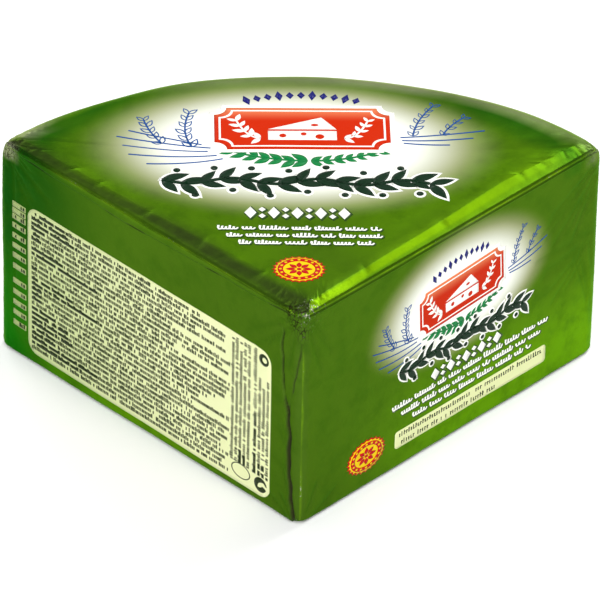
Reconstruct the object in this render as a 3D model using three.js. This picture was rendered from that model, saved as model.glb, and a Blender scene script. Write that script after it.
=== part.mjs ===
import * as THREE from 'three';

// A wedge of soft blue cheese, shut in its printed foil. It is a quarter of a round wheel, cut to half
// the wheel's height, so its two flat cut faces meet at a point and the rind curves round behind.
// Millimetres, +Z up, the point of the wedge towards -Y, the base on the plane Z = 0.

// Sizes of the wheel that the wedge is cut from
const wheelRadius = 145;
const halfAngle = THREE.MathUtils.degToRad(45);

// Heights above the base
const creaseHeight = 85.1;   // pressed fold where each cut face meets the top
const bevelHeight = 86.9;    // inner edge of the soft bevel above that fold
const rimHeight = 86.6;      // where the top rolls over to the curved rind
const crownHeight = 87.6;    // middle of the top, which swells a little

// Roundings that the foil takes
const pointRadius = 4;       // down the front point
const cornerRadius = 5;      // down each rear corner
const rimRadius = 8.9;       // over the top of the curved rind
const creaseRadius = 0.7;    // at the pressed fold
const bevelWidth = 7.2;      // from the fold to the flat of the top
const baseRadius = 2;        // round the base

// How finely each stretch is drawn
const pointSteps = 6;
const faceSteps = 14;
const cornerSteps = 5;
const rimSteps = 28;
const baseSteps = 4;
const sideSteps = 4;
const rollSteps = 8;
const crownSteps = 6;

const foilColour = 0x4b7f1a;

const { sin, cos, tan, sqrt, PI } = Math;
const lerp = THREE.MathUtils.lerp;

// Points along an arc, without its last one
function arc(centreX, centreY, radius, from, to, steps) {
  const points = [];
  for (let i = 0; i < steps; i += 1) {
    const angle = lerp(from, to, i / steps);
    points.push([centreX + radius * cos(angle), centreY + radius * sin(angle)]);
  }
  return points;
}

// The outline of the wedge at one level, anticlockwise from the front point, which is the origin here.
// Each cut face is moved in by cutInset and the rind by rimInset. The third number of a point is its
// share of the rind: 0 on a cut face, 1 on the rind, and between them round a rear corner.
function outline(cutInset, rimInset) {
  const rimAt = wheelRadius - rimInset;
  const along = [sin(halfAngle), cos(halfAngle)];
  const out = [cos(halfAngle), -sin(halfAngle)];
  const cornerAlong = sqrt((rimAt - cornerRadius) ** 2 - (cutInset + cornerRadius) ** 2);
  const cornerX = cornerAlong * along[0] - (cutInset + cornerRadius) * out[0];
  const cornerY = cornerAlong * along[1] - (cutInset + cornerRadius) * out[1];
  const cornerTurn = Math.atan2(cornerY, cornerX);
  const pointY = (cutInset + pointRadius) / sin(halfAngle);
  const faceStart = (cutInset + pointRadius) / tan(halfAngle);

  const right = [];
  for (let i = 0; i < faceSteps; i += 1) {
    const distance = lerp(faceStart, cornerAlong, i / faceSteps);
    right.push([distance * along[0] - cutInset * out[0], distance * along[1] - cutInset * out[1], 0]);
  }
  const corner = arc(cornerX, cornerY, cornerRadius, -halfAngle, cornerTurn, cornerSteps);
  corner.forEach((point, i) => right.push([...point, i / cornerSteps]));

  const left = right.slice(1).reverse();
  const mirrored = left.map(([x, y, share]) => [-x, y, share]);
  const faceEnd = [-right[0][0], right[0][1], 0];

  const rim = arc(0, 0, rimAt, cornerTurn, PI - cornerTurn, rimSteps).map((point) => [...point, 1]);
  const rimEnd = [-rim[0][0], rim[0][1], 1];

  // The front fillet starts where the left face ends, so its own first point is left out
  const front = arc(0, pointY, pointRadius, -PI + halfAngle, -halfAngle, pointSteps).slice(1);
  return [...right, ...rim, rimEnd, ...mirrored, faceEnd, ...front.map((point) => [...point, 0])];
}

// The levels from the base to the edge of the top, on a cut face and on the rind
function levels() {
  const rows = [];
  for (let i = 0; i < baseSteps; i += 1) {
    const angle = (i / baseSteps) * PI / 2;
    const inset = baseRadius * (1 - sin(angle));
    const height = baseRadius * (1 - cos(angle));
    rows.push({ cutInset: inset, cutHeight: height, rimInset: inset, rimHeight: height });
  }
  const cutTop = creaseHeight - creaseRadius;
  const rimTop = rimHeight - rimRadius;
  for (let i = 0; i < sideSteps; i += 1) {
    const share = i / sideSteps;
    rows.push({
      cutInset: 0,
      cutHeight: lerp(baseRadius, cutTop, share),
      rimInset: 0,
      rimHeight: lerp(baseRadius, rimTop, share),
    });
  }
  for (let i = 0; i <= rollSteps; i += 1) {
    const share = i / rollSteps;
    const angle = share * PI / 2;
    rows.push({
      ...bevel(share),
      rimInset: rimRadius * (1 - cos(angle)),
      rimHeight: rimTop + rimRadius * sin(angle),
    });
  }
  return rows;
}

// The top edge of a cut face: a tight fold, then the soft bevel that climbs to the flat of the top
function bevel(share) {
  const foldShare = 0.25;
  if (share <= foldShare) {
    const angle = (share / foldShare) * PI / 3;
    return {
      cutInset: creaseRadius * (1 - cos(angle)),
      cutHeight: creaseHeight - creaseRadius * (1 - sin(angle)),
    };
  }
  const climb = (share - foldShare) / (1 - foldShare);
  const start = bevel(foldShare);
  return {
    cutInset: lerp(start.cutInset, bevelWidth, climb),
    cutHeight: lerp(start.cutHeight, bevelHeight, sin(climb * PI / 2)),
  };
}

// Rings of points from the base up the sides and over the top, then one point in the middle of each
function wedgeRings() {
  const rings = levels().map((row) => outline(row.cutInset, row.rimInset).map(([x, y, share]) => {
    const height = lerp(row.cutHeight, row.rimHeight, THREE.MathUtils.smoothstep(share, 0, 1));
    return new THREE.Vector3(x, y, height);
  }));
  const middle = new THREE.Vector3(0, wheelRadius * 0.6, crownHeight);
  const edge = rings[rings.length - 1];
  for (let i = 1; i < crownSteps; i += 1) {
    const share = i / crownSteps;
    rings.push(edge.map((point) => {
      const moved = point.clone().lerp(middle, share);
      moved.z = lerp(point.z, crownHeight, sin(share * PI / 2));
      return moved;
    }));
  }
  return { rings, middle };
}

// One closed skin: bands between the rings, a fan over the top and a flat fan for the base
function wedgeGeometry() {
  const { rings, middle } = wedgeRings();
  const count = rings[0].length;
  const positions = [];
  const indices = [];
  rings.flat().forEach((point) => positions.push(point.x, point.y, point.z));
  const top = rings.length * count;
  const base = top + 1;
  positions.push(middle.x, middle.y, middle.z);
  positions.push(middle.x, middle.y, 0);

  for (let ring = 0; ring + 1 < rings.length; ring += 1) {
    for (let i = 0; i < count; i += 1) {
      const next = (i + 1) % count;
      const lower = ring * count;
      const upper = lower + count;
      indices.push(lower + i, lower + next, upper + next);
      indices.push(lower + i, upper + next, upper + i);
    }
  }
  const last = top - count;
  for (let i = 0; i < count; i += 1) {
    const next = (i + 1) % count;
    indices.push(last + i, last + next, top);
    indices.push(next, i, base);
  }

  const geometry = new THREE.BufferGeometry();
  geometry.setAttribute('position', new THREE.Float32BufferAttribute(positions, 3));
  geometry.setIndex(indices);
  geometry.computeVertexNormals();
  return geometry;
}

// The wrapped wedge, with the middle of its footprint over the origin
function wrappedWedge() {
  const foil = new THREE.MeshStandardMaterial({ color: foilColour, roughness: 0.35, metalness: 0.5 });
  const mesh = new THREE.Mesh(wedgeGeometry(), foil);
  mesh.name = 'wrapped_wedge';
  const box = new THREE.Box3().setFromObject(mesh);
  mesh.position.y = -(box.min.y + box.max.y) / 2;
  return mesh;
}

const pack = new THREE.Group();
pack.add(wrappedWedge());

export default pack;
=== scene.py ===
# %% [markdown]
# # A foil-wrapped wedge of soft blue cheese
# The real thing is a quarter of a cheese wheel, cut to half the wheel's height, pressed into a sheet of
# printed aluminium foil. This file dresses the plain solid of that wedge: a skin of creased foil, the
# inks that are printed on it, and the light and camera of a plain studio picture.

# %% Load the frame
import math
from functools import partial

import bpy
import numpy as np
from mathutils import Matrix, Vector
from mathutils.geometry import delaunay_2d_cdt


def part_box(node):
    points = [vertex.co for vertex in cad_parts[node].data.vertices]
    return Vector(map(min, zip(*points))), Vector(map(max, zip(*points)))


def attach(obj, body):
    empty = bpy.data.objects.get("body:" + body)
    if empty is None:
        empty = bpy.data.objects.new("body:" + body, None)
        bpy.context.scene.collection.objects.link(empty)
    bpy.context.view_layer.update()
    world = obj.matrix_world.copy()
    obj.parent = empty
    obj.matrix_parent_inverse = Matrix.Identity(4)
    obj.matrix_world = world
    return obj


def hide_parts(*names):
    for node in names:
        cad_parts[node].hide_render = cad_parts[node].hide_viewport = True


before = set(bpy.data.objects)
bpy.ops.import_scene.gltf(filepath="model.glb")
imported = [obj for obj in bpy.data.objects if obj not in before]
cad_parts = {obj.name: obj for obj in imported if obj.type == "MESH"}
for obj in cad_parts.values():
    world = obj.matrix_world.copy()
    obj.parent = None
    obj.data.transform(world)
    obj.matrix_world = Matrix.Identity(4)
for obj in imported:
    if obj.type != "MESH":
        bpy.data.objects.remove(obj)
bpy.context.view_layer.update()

MM = 0.001
low, high = (np.array(corner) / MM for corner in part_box("wrapped_wedge"))
print("the wedge's box in mm:", low.round(2), high.round(2))

# %% [markdown]
# ## The sizes of the pack
# Everything is worked out from the box of the solid and a few roundings that the foil takes. Sizes are in
# millimetres until a mesh is made. The foil lies a hair inside the solid, so that its folds can stand
# proud of it and still stay within the wedge's box.

# %% Sizes
point_rounding = 4.0
corner_rounding = 5.0
rim_rounding = 8.9
base_rounding = 2.0
fold_rounding = 0.6
bevel_width = 7.2
slack = 0.12
knock_reach = 4.5
radius = high[1] - low[1] + point_rounding * (math.sqrt(2) - 1)
point_y = high[1] - radius
crown_height = high[2] - 0.35
bevel_height = high[2] - 0.5
rim_height = high[2] - 1.1
crease_height = high[2] - 2.6
base_height = 0.25
base_hollow = 0.3
rind_slack = 0.35
half = math.sqrt(0.5)
print("radius", round(radius, 2), "mm, point of the wedge at y", round(point_y, 2), "mm")

# %% [markdown]
# ## Faces to draw on
# A flat face of the wedge is a plane with its own two directions, seen from outside: across, to the
# right, and up. A shape drawn on paper goes onto a face by these. The print on the left face isn't quite
# square: its rows drop a little to the right, as on the pack. The end of the label is set sideways, so
# the left face has a second, turned plane for it.

# %% The faces
class Face:
    def __init__(self, origin, across, up):
        self.origin, self.across, self.up = (np.array(v, float) for v in (origin, across, up))
        self.out = np.cross(self.across, self.up)

    def at(self, drawn, lift=0.0):
        drawn = np.atleast_2d(drawn)
        return self.origin + drawn[:, :1] * self.across + drawn[:, 1:2] * self.up + lift * self.out


top_face = Face((0, 0, high[2]), (1, 0, 0), (0, 1, 0))
right_face = Face((0, point_y, 0), (half, half, 0), (0, 0, 1))
label_drop = 0.015
left_face = Face((0, point_y, -label_drop * 70), (half, -half, -label_drop), (0, 0, 1))
left_sideways = Face((0, point_y, -label_drop * 70), (0, 0, 1), (-half, half, label_drop))
for name, face in (("top", top_face), ("right", right_face), ("left", left_face)):
    print("the", name, "face looks out along", face.out.round(2))

# %% [markdown]
# ## Making and dropping meshes
# Two short helpers: one makes an object from points in millimetres, and one drops objects that were only
# needed on the way, such as drawings.

# %% Helpers for meshes
def piece_from(name, points, faces=(), edges=()):
    mesh = bpy.data.meshes.new(name)
    faces = np.asarray(faces, int).reshape(-1, 3).tolist()
    mesh.from_pydata((np.asarray(points, float) * MM).tolist(), [tuple(e) for e in edges], faces)
    mesh.update()
    made = bpy.data.objects.new(name, mesh)
    bpy.context.scene.collection.objects.link(made)
    return made


def discard(*objects):
    for thing in objects:
        mesh = thing.data
        bpy.data.objects.remove(thing)
        bpy.data.meshes.remove(mesh)


# %% [markdown]
# ## Making nodes
# Node trees are written here as short sums. One helper adds a node and joins its sockets, a few do the
# arithmetic in the tree that their terms belong to, one opens a node group with named inputs and outputs,
# and one runs a tree on an object and keeps the result as a plain mesh.

# %% Helpers for nodes
def add(tree, kind, sockets=None, **settings):
    """A new node, its settings set and its sockets given a value or joined to an output."""
    made = tree.nodes.new(kind)
    for setting, value in settings.items():
        setattr(made, setting, value)
    for key, value in (sockets or {}).items():
        if isinstance(value, bpy.types.NodeSocket):
            tree.links.new(value, made.inputs[key])
        else:
            made.inputs[key].default_value = value
    return made


def calc(operation, *terms, clamp=False):
    """A Math node in the tree of the first term that is a socket."""
    tree = next(term.id_data for term in terms if isinstance(term, bpy.types.NodeSocket))
    sockets = dict(enumerate(terms))
    return add(tree, "ShaderNodeMath", sockets, operation=operation, use_clamp=clamp).outputs[0]


plus, minus, times, divided = (partial(calc, name) for name in ("ADD", "SUBTRACT", "MULTIPLY", "DIVIDE"))


def vector_calc(operation, first, second):
    """A Vector Math node; scaling takes a number as its second term."""
    sockets = {0: first, "Scale" if operation == "SCALE" else 1: second}
    return add(first.id_data, "ShaderNodeVectorMath", sockets, operation=operation).outputs[0]


def new_group(name, inputs, outputs, kind="ShaderNodeTree"):
    """A node group with these sockets, and its input and output nodes."""
    tree = bpy.data.node_groups.new(name, kind)
    for way, sockets in (("INPUT", inputs), ("OUTPUT", outputs)):
        for title, (socket_kind, value) in sockets.items():
            socket = tree.interface.new_socket(title, in_out=way, socket_type=socket_kind)
            if value is not None:
                socket.default_value = value
    return tree, tree.nodes.new("NodeGroupInput").outputs, tree.nodes.new("NodeGroupOutput").inputs


def apply_tree(target, tree, **values):
    """Runs a geometry node tree on an object and keeps the result as its plain mesh."""
    modifier = target.modifiers.new(tree.name, "NODES")
    modifier.node_group = tree
    for item in tree.interface.items_tree:
        title = item.name.replace(" ", "_").lower()
        if item.in_out == "INPUT" and title in values:
            modifier[item.identifier] = values[title]
    target.update_tag()
    graph = bpy.context.evaluated_depsgraph_get()
    mesh = bpy.data.meshes.new_from_object(target.evaluated_get(graph), depsgraph=graph)
    target.modifiers.clear()
    old, target.data = target.data, mesh
    bpy.data.meshes.remove(old)
    return target


NUMBER, WHOLE, ARROW = "NodeSocketFloat", "NodeSocketInt", "NodeSocketVector"
SHAPE, THING, FINISH = "NodeSocketGeometry", "NodeSocketObject", "NodeSocketMaterial"

# %% [markdown]
# ## The smooth form of the pack
# The wedge follows a rule: one outline, drawn at many levels, each a little further in. Near the point,
# the corners and the folds the columns and rows lie closer, because the foil creases there. It is made
# as rings of points, like the solid, rather than by subdividing a rough wedge, because the rings can lie
# close only where the detail is.

# %% The outline
def spaced(*stretches):
    """Numbers from 0 to 1, with so many steps over each stretch that ends at the given place."""
    places, start = [], 0.0
    for end, steps in stretches:
        places.append(np.linspace(start, end, steps, endpoint=False))
        start = end
    return np.concatenate(places)


face_stops = spaced((0.10, 56), (0.93, 108), (1.0, 28))
corner_stops = spaced((1.0, 16))
rind_stops = spaced((0.07, 28), (0.93, 184), (1.0, 28))
point_stops = spaced((1.0, 16))


def arc(centre, size, start, end, stops):
    turn = start + (end - start) * stops
    return np.stack([centre[0] + size * np.cos(turn), centre[1] + size * np.sin(turn)], 1)


def outline(cut_inset, rind_inset):
    """The wedge's outline at one level, anticlockwise, from the point along the right face."""
    rind = radius - rind_inset
    away = cut_inset + corner_rounding
    reach = math.sqrt((rind - corner_rounding) ** 2 - away**2)
    corner = np.array([reach - away, reach + away]) * half
    turn = math.atan2(corner[1], corner[0])
    begin = cut_inset + point_rounding
    along = begin + (reach - begin) * face_stops
    right = np.stack([along - cut_inset, along + cut_inset], 1) * half
    round_corner = arc(corner, corner_rounding, -math.pi / 4, turn, corner_stops)
    back = arc((0, 0), rind, turn, math.pi - turn, rind_stops)
    # A stretch leaves out its last point, so the mirrored side starts with the end of the rind
    left = np.concatenate([back[:1], round_corner[::-1], right[:0:-1]]) * [-1, 1]
    point = arc((0, begin / half), point_rounding, -0.75 * math.pi, -0.25 * math.pi, point_stops)
    return np.concatenate([right, round_corner, back, left, point]) + [0, point_y]


cut_columns = np.zeros(len(face_stops))
rind_share = np.concatenate([
    cut_columns, corner_stops, np.ones(len(rind_stops) + 1), corner_stops[::-1],
    cut_columns[1:], np.zeros(len(point_stops)),
])
columns = len(rind_share)
print(columns, "columns round the wedge")

# %% [markdown]
# ## The levels
# The levels go from the edge of the base up the side and over the edge of the top. On the cut faces that
# edge is a pressed fold, a steep little wall and a soft bevel; on the rind it is one round shoulder. So
# there is an inset and a height for both, and the corners blend from one to the other.

# %% The levels
def quarter(stops):
    return np.sin(stops * math.pi / 2), np.cos(stops * math.pi / 2)


base_stops = spaced((1.0, 5))
side_stops = spaced((0.1, 9), (0.88, 52), (0.94, 12), (1.0, 27))
fold_stops = spaced((1.0, 5))
bevel_stops = np.append(spaced((0.1, 4), (0.2, 3), (0.88, 9), (1.0, 4)), 1.0)
bevel_rise = np.interp(bevel_stops, [0, 0.08, 0.14, 0.84, 0.94, 1.0], [0, 0.36, 0.44, 0.91, 0.975, 1.0])

sine, cosine = quarter(base_stops)
fold_sine, fold_cosine = quarter(fold_stops * 2 / 3)
roll_sine, roll_cosine = quarter(np.linspace(0, 1, len(fold_stops) + len(bevel_stops)))
side_base = base_height + base_rounding
fold_foot = crease_height - fold_rounding
roll_foot = rim_height - rim_rounding
fold_top = crease_height - fold_rounding * (1 - math.sin(math.pi / 3))
cut_inset = np.concatenate([
    base_rounding * (1 - sine), 0 * side_stops, fold_rounding * (1 - fold_cosine),
    fold_rounding / 2 + (bevel_width - fold_rounding / 2) * bevel_stops,
])
cut_height = np.concatenate([
    base_height + base_rounding * (1 - cosine), side_base + (fold_foot - side_base) * side_stops,
    fold_foot + fold_rounding * fold_sine, fold_top + (bevel_height - fold_top) * bevel_rise,
])
rind_inset = np.concatenate([base_rounding * (1 - sine), 0 * side_stops, rim_rounding * (1 - roll_cosine)])
rind_height = np.concatenate([
    base_height + base_rounding * (1 - cosine), side_base + (roll_foot - side_base) * side_stops,
    roll_foot + rim_rounding * roll_sine,
])
print(len(cut_inset), "levels up the side and over the edge")

# %% [markdown]
# ## How wide the bevels are
# The bevel over each cut face isn't even. Over the right face it is narrow at the point and widest near
# the far corner; over the left face it is widest at the point. Each width is given at a few distances
# from the point, and the columns between them follow.

# %% Bevel widths
fold_outline = outline(slack, rind_slack)
column_along = np.abs(fold_outline[:, 0]) / half
right_places = [0, 9, 18, 36, 60, 82, 105, 119, 140]
right_width = np.interp(column_along, right_places, [4.2, 3.9, 4.2, 4.4, 5.1, 6.1, 7.2, 6.4, 5.2])
left_places = [0, 9, 23, 46, 69, 92, 110, 119, 138]
left_width = np.interp(column_along, left_places, [8.5, 8.7, 8.0, 6.9, 5.6, 4.6, 4.2, 4.0, 4.0])
to_right = np.clip(fold_outline[:, 0] / point_rounding + 0.5, 0, 1)
bevel_share = (left_width + (right_width - left_width) * to_right) / bevel_width
bevel_share = 1 + (bevel_share - 1) * (1 - rind_share)
print("the bevels are", left_width.min(), "to", left_width.max().round(1), "mm wide on the left")

# %% [markdown]
# ## The rings
# The side rings follow the levels. The rind bulges a little in two places, where the cheese inside is
# fuller, and each second column is dropped now and then where the rings run in over the top and the base.

# %% The rings
inward_steps = ((0.06, 2), (0.13, 2), (0.2, 2), (0.28, 2), (0.36, 4), (0.46, 4), (0.56, 4), (0.67, 8),
                (0.78, 8), (0.89, 8))


def rings_inward(edge, middle, swell):
    """Rings from an edge in towards the middle, with fewer and fewer of its columns."""
    rings = []
    for share, skip in inward_steps:
        inner = edge[::skip] + (middle - edge[::skip]) * share
        inner[:, 2] = edge[::skip, 2] + (middle[2] - edge[::skip, 2]) * swell(share)
        rings.append(inner)
    return rings


def ridge(distance, width):
    """1 on a line, fading on both sides of it."""
    return np.exp(-((distance / width) ** 2))


walls = []
for levels in zip(cut_inset, cut_height, rind_inset, rind_height):
    across = outline(levels[0] + slack, levels[2] + rind_slack)
    if levels[1] > fold_foot + 0.01:
        across = fold_outline + (across - fold_outline) * bevel_share[:, None]
    share = np.clip(rind_share * np.where(across[:, 0] < 0, 1.8, 1.0), 0, 1)
    blend = share**2 * (3 - 2 * share)
    ring = np.column_stack([across, levels[1] + (levels[3] - levels[1]) * blend])
    from_point = ring[:, :2] - [0, point_y]
    turn = np.degrees(np.arctan2(from_point[:, 0], from_point[:, 1]))
    bulge = rind_share * (1.5 * ridge(turn - 33, 12) + 0.9 * ridge(turn + 16, 7))
    ring[:, :2] += from_point / np.linalg.norm(from_point, axis=1)[:, None] * bulge[:, None]
    walls.append(ring)
middle_y = point_y + 0.6 * radius
top_middle = np.array([0, middle_y, crown_height])
base_middle = np.array([0, middle_y, base_height + base_hollow])
over_top = rings_inward(walls[-1], top_middle, lambda s: math.sin(s * math.pi / 2))
under_base = rings_inward(walls[0], base_middle, lambda s: s)[::-1]
rings = [*under_base, *walls, *over_top]
print(len(rings), "rings from the middle of the base to the middle of the top")

# %% [markdown]
# ## Sewing the rings into one skin
# Two rings with as many points are joined by squares, each cut into two triangles. Where one has twice
# as many, each of the wide ring's points meets two of the close one's. A fan closes each middle. The
# right rear corner of the top is knocked in a little, as on the pack.

# %% Sew
def sew(lower, m, upper, n):
    """Triangles between two rings that start at these points and have m and n points."""
    i = np.arange(min(m, n))
    if m == n:
        a, b, c, d = lower + i, lower + (i + 1) % m, upper + i, upper + (i + 1) % n
        return np.concatenate([np.stack([a, b, d], 1), np.stack([a, d, c], 1)])
    if m > n:
        a0, a1, a2 = lower + 2 * i, lower + 2 * i + 1, lower + (2 * i + 2) % m
        b0, b1 = upper + i, upper + (i + 1) % n
        triangles = [(a0, a1, b0), (a1, b1, b0), (a1, a2, b1)]
    else:
        a0, a1 = lower + i, lower + (i + 1) % m
        b0, b1, b2 = upper + 2 * i, upper + 2 * i + 1, upper + (2 * i + 2) % n
        triangles = [(a0, b1, b0), (a0, a1, b1), (a1, b2, b1)]
    return np.concatenate([np.stack(t, 1) for t in triangles])


skin_points = np.concatenate([*rings, [base_middle, top_middle]])
corner = np.array([radius * half, point_y + radius * half, crease_height + 1])
apart = np.linalg.norm(skin_points - corner, axis=1)
skin_points += ridge(apart, knock_reach)[:, None] * [-0.35, -0.2, -0.9]
starts = np.cumsum([0, *[len(r) for r in rings]])
skin_faces = [sew(starts[k], len(rings[k]), starts[k + 1], len(rings[k + 1])) for k in range(len(rings) - 1)]
for ring, start, middle, turned in (
    (rings[0], starts[0], len(skin_points) - 2, True),
    (rings[-1], starts[-2], len(skin_points) - 1, False),
):
    i = np.arange(len(ring))
    near, far = start + i, start + (i + 1) % len(ring)
    skin_faces.append(np.stack([far, near, middle + 0 * i] if turned else [near, far, middle + 0 * i], 1))
skin_faces = np.concatenate(skin_faces)
foil_skin = piece_from("foil_skin", skin_points, skin_faces)
print("foil skin:", len(skin_points), "points,", len(skin_faces), "triangles")

# %% [markdown]
# ## Where each point of the skin lies
# The folds, the crumples and the tints are all given by how far a point is from an edge. So the distances
# come first: along each cut face from the point of the wedge, in from each cut face, up from the base,
# and in degrees round the rind. A smooth wander keeps every edge from being ruled.

# %% Distances on the skin
local = skin_points - [0, point_y, 0]
along_right = local[:, :2] @ [half, half]
along_left = local[:, :2] @ [-half, half]
inside_right = -(local[:, :2] @ [half, -half])
inside_left = -(local[:, :2] @ [-half, -half])
height = skin_points[:, 2]
turn_back = np.degrees(np.arctan2(-local[:, 0], local[:, 1]))
below_fold = height < crease_height - 0.1
on_left = below_fold & (inside_left < 1.2)
on_right = below_fold & (inside_right < 1.2)
left_side, right_side = local[:, 0] < -2, local[:, 0] > 2
print(on_left.sum(), "points on the left face,", on_right.sum(), "on the right face")


def wave(places, step, reach, seed):
    """A smooth wander along an edge: random heights a step apart, joined by a curve."""
    knots = np.random.default_rng(seed).uniform(-reach, reach, 400)
    at = np.clip(places / step + 50, 0, 398)
    k, t = at.astype(int), at % 1
    t = t * t * (3 - 2 * t)
    return knots[k] * (1 - t) + knots[k + 1] * t


def step(distance, width):
    """0 below, 1 above, over a width."""
    return np.clip(distance / width + 0.5, 0, 1)


# %% [markdown]
# ## Where the sheet is folded
# The wrap is one sheet, folded round the wedge. On the left face its last edge ends a few millimetres
# from the point, and gapes a little, with a finer line that leaves it higher up; along the top of the cut
# faces a narrow hem runs under the fold; down the rind the two ends lap over each other. Each is a small
# step in the skin, so it is kept as a height for every point, and the gaping edges as a mask where the
# finish paints the shadow in the gap.

# %% The lap near the point
lap_edge = np.interp(height, [0, 15, 29, 34, 44, 50, 60, 74], [3.4, 4.7, 5.7, 5.2, 6.3, 8.1, 8.6, 9.4])
lap_edge = lap_edge + wave(height, 5.0, 0.45, 3) + wave(height, 2.2, 0.14, 4)
past_lap = along_left - lap_edge
lap_fade = step(76 - height, 4)
lap_lift = 0.55 * np.exp(-np.clip(past_lap, 0, None) / 5) * step(past_lap, 0.3)
lap_width = np.interp(height, [0, 30, 46, 52, 76], [0.62, 0.66, 0.55, 0.28, 0.18])
lap_width *= 1 + 0.3 * wave(height, 3, 1, 5)
lap_broken = np.where(height > 47, np.clip(0.6 + 1.1 * wave(height, 3.2, 1, 6), 0, 1), 1)
lap_gap = np.exp(-(((past_lap + 0.3) / lap_width) ** 4)) * lap_broken
branch_edge = np.interp(height, [43, 50, 61, 76], [6.2, 4.9, 2.7, 1.0]) + wave(height, 3.0, 0.3, 8)
branch_gap = ridge(along_left - branch_edge, 0.26) * step(height - 43.5, 2) * step(78 - height, 3)
branch_gap *= np.clip(0.75 + 0.8 * wave(height, 2.6, 1, 9), 0, 1)
lap_gap = np.maximum(lap_gap * lap_fade, 0.85 * branch_gap)
print("the lap gapes at", int((lap_gap > 0.5).sum()), "points")

# %% [markdown]
# ## The hem, the lip and the seam
# The hem's depth changes along the left fold, and it gapes here and there. Under the right fold the foil
# is pressed into a lip. The seam at the back wanders a little on its way down.

# %% The hem, the lip and the seam
hem_depth = np.interp(along_left, [0, 20, 60, 85, 92, 120, 138], [0.8, 1.6, 2.5, 3.3, 2.9, 2.2, 1.3])
hem = height - (crease_height - hem_depth + wave(along_left, 9, 0.2, 11))
hem_open = np.clip(wave(along_left, 7, 1, 21) * 2.2 - 0.1, 0.12, 1)
hem_gap = ridge(hem + 0.18, 0.27) * hem_open
lip = height - (crease_height - 1.25)
lip_lift = 0.22 * ridge(lip, 0.28) - 0.2 * ridge(lip - 0.7, 0.4)
seam = (turn_back - 21 - wave(height, 12, 0.5, 31) / 2) * math.radians(1) * radius
on_rind = below_fold & (np.hypot(local[:, 0], local[:, 1]) > radius - 1.6) & (height < roll_foot + 6)
seam_lift = 0.35 * np.exp(-np.clip(seam, 0, None) / 9) * step(seam, 0.8) * step(roll_foot + 4 - height, 8)
seam_gap = ridge(seam + 0.7, 0.7) * step(roll_foot - height, 10)
left_lift = lap_fade * lap_lift - 0.6 * lap_gap + 0.3 * step(hem, 0.4) - 0.3 * hem_gap
fold_lift = np.where(on_left, left_lift, 0)
fold_lift += np.where(on_right, lip_lift, 0) + np.where(on_rind, seam_lift - 0.4 * seam_gap, 0)
# Painted shadow in the gaping edges of the lap, the hem and the seam
gap = np.where(on_left, np.maximum(lap_gap, 0.85 * hem_gap), 0)
gap = np.maximum(gap, np.where(on_rind, 0.55 * seam_gap, 0))
# Painted shade along the foot of the faces, where they meet the floor, darker on the right
gap = np.maximum(gap, np.where(right_side, 0.75, 0.35) * step(0.9 - height, 0.5))
print("folds stand", fold_lift.max().round(2), "mm proud and", -fold_lift.min().round(2), "mm deep")

# %% [markdown]
# ## Where the foil is crumpled
# Foil crumples where it has to gather: at the ends of each fold, and a little along every edge. How much
# is kept for every point as a number that is about 1 in the corners.

# %% Crumple
def near(spot, reach):
    return np.exp(-np.linalg.norm(skin_points - spot, axis=1) / reach)


def near_line(start, end, reach):
    start, end = np.array(start, float), np.array(end, float)
    way = end - start
    share = np.clip((skin_points - start) @ way / (way @ way), 0, 1)
    return np.exp(-np.linalg.norm(skin_points - start - share[:, None] * way, axis=1) / reach)


point_top = np.array([0, point_y + 1.6, crease_height])
point_foot = np.array([0, point_y + 1.6, base_height])
rear_across = (radius - 3) * half
rear_tops = [np.array([side * rear_across, point_y + rear_across, crease_height]) for side in (-1, 1)]
rear_feet = [spot * [1, 1, 0] + [0, 0, base_height] for spot in rear_tops]
corner_crumple = 1.0 * near(point_top, 6) + 0.4 * near(point_foot, 3)
for spot, foot, share in zip(rear_tops, rear_feet, (0.8, 0.45)):
    corner_crumple += share * near(spot, 8) + 0.4 * near(foot, 5)
edge_crumple = 0.20 * near_line(point_top, rear_tops[0], 4) + 0.04 * near_line(point_top, rear_tops[1], 4)
edge_crumple += 0.08 * near(rear_tops[1], 16)
edge_crumple += 0.25 * near_line(point_top, point_foot, 3)
edge_crumple += 0.20 * (near_line(rear_tops[0], rear_feet[0], 4) + near_line(rear_tops[1], rear_feet[1], 4))
crumple = np.clip(corner_crumple + edge_crumple, 0, 1.2)
print((crumple > 0.3).mean().round(3), "of the skin's points are well crumpled")

# %% [markdown]
# ## Where the ink is worn, and the glint down the front edge
# The crumpled places are rubbed through to the bare metal in specks, most of all in the corners and down
# the front edge. The broken silver line down that edge is partly worn metal and partly a painted
# highlight on the fold.

# %% Wear, and the glint down the front edge
# The silver line down the front edge: partly worn metal, partly a painted highlight on the fold
silver_edge = 1.5 + wave(height, 9, 0.25, 41)
silver = ridge(along_right - silver_edge, 0.22) * np.where(on_right, 1, 0)
silver *= np.clip(0.38 + 0.6 * wave(height, 5, 1, 42), 0.05, 0.6)
silver *= step(64 - height, 6) * step(height - 6, 14)
point_crown = point_top + [2.6, 3.6, 2.0]
wear = silver + 0.62 * near(point_crown, 3.2)
wear += 0.34 * near(point_top - [0, 0, 7], 6) + 0.7 * near(point_foot, 1.6)
for spot, share in zip(rear_tops, (0.8, 0.35)):
    wear += share * near(spot, 3.2)
wear += 0.3 * near_line(point_top, rear_tops[0], 0.6) + 0.42 * near_line(point_top, rear_tops[1], 0.6)
print((wear > 0.3).mean().round(3), "of the skin's points are well worn")
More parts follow.
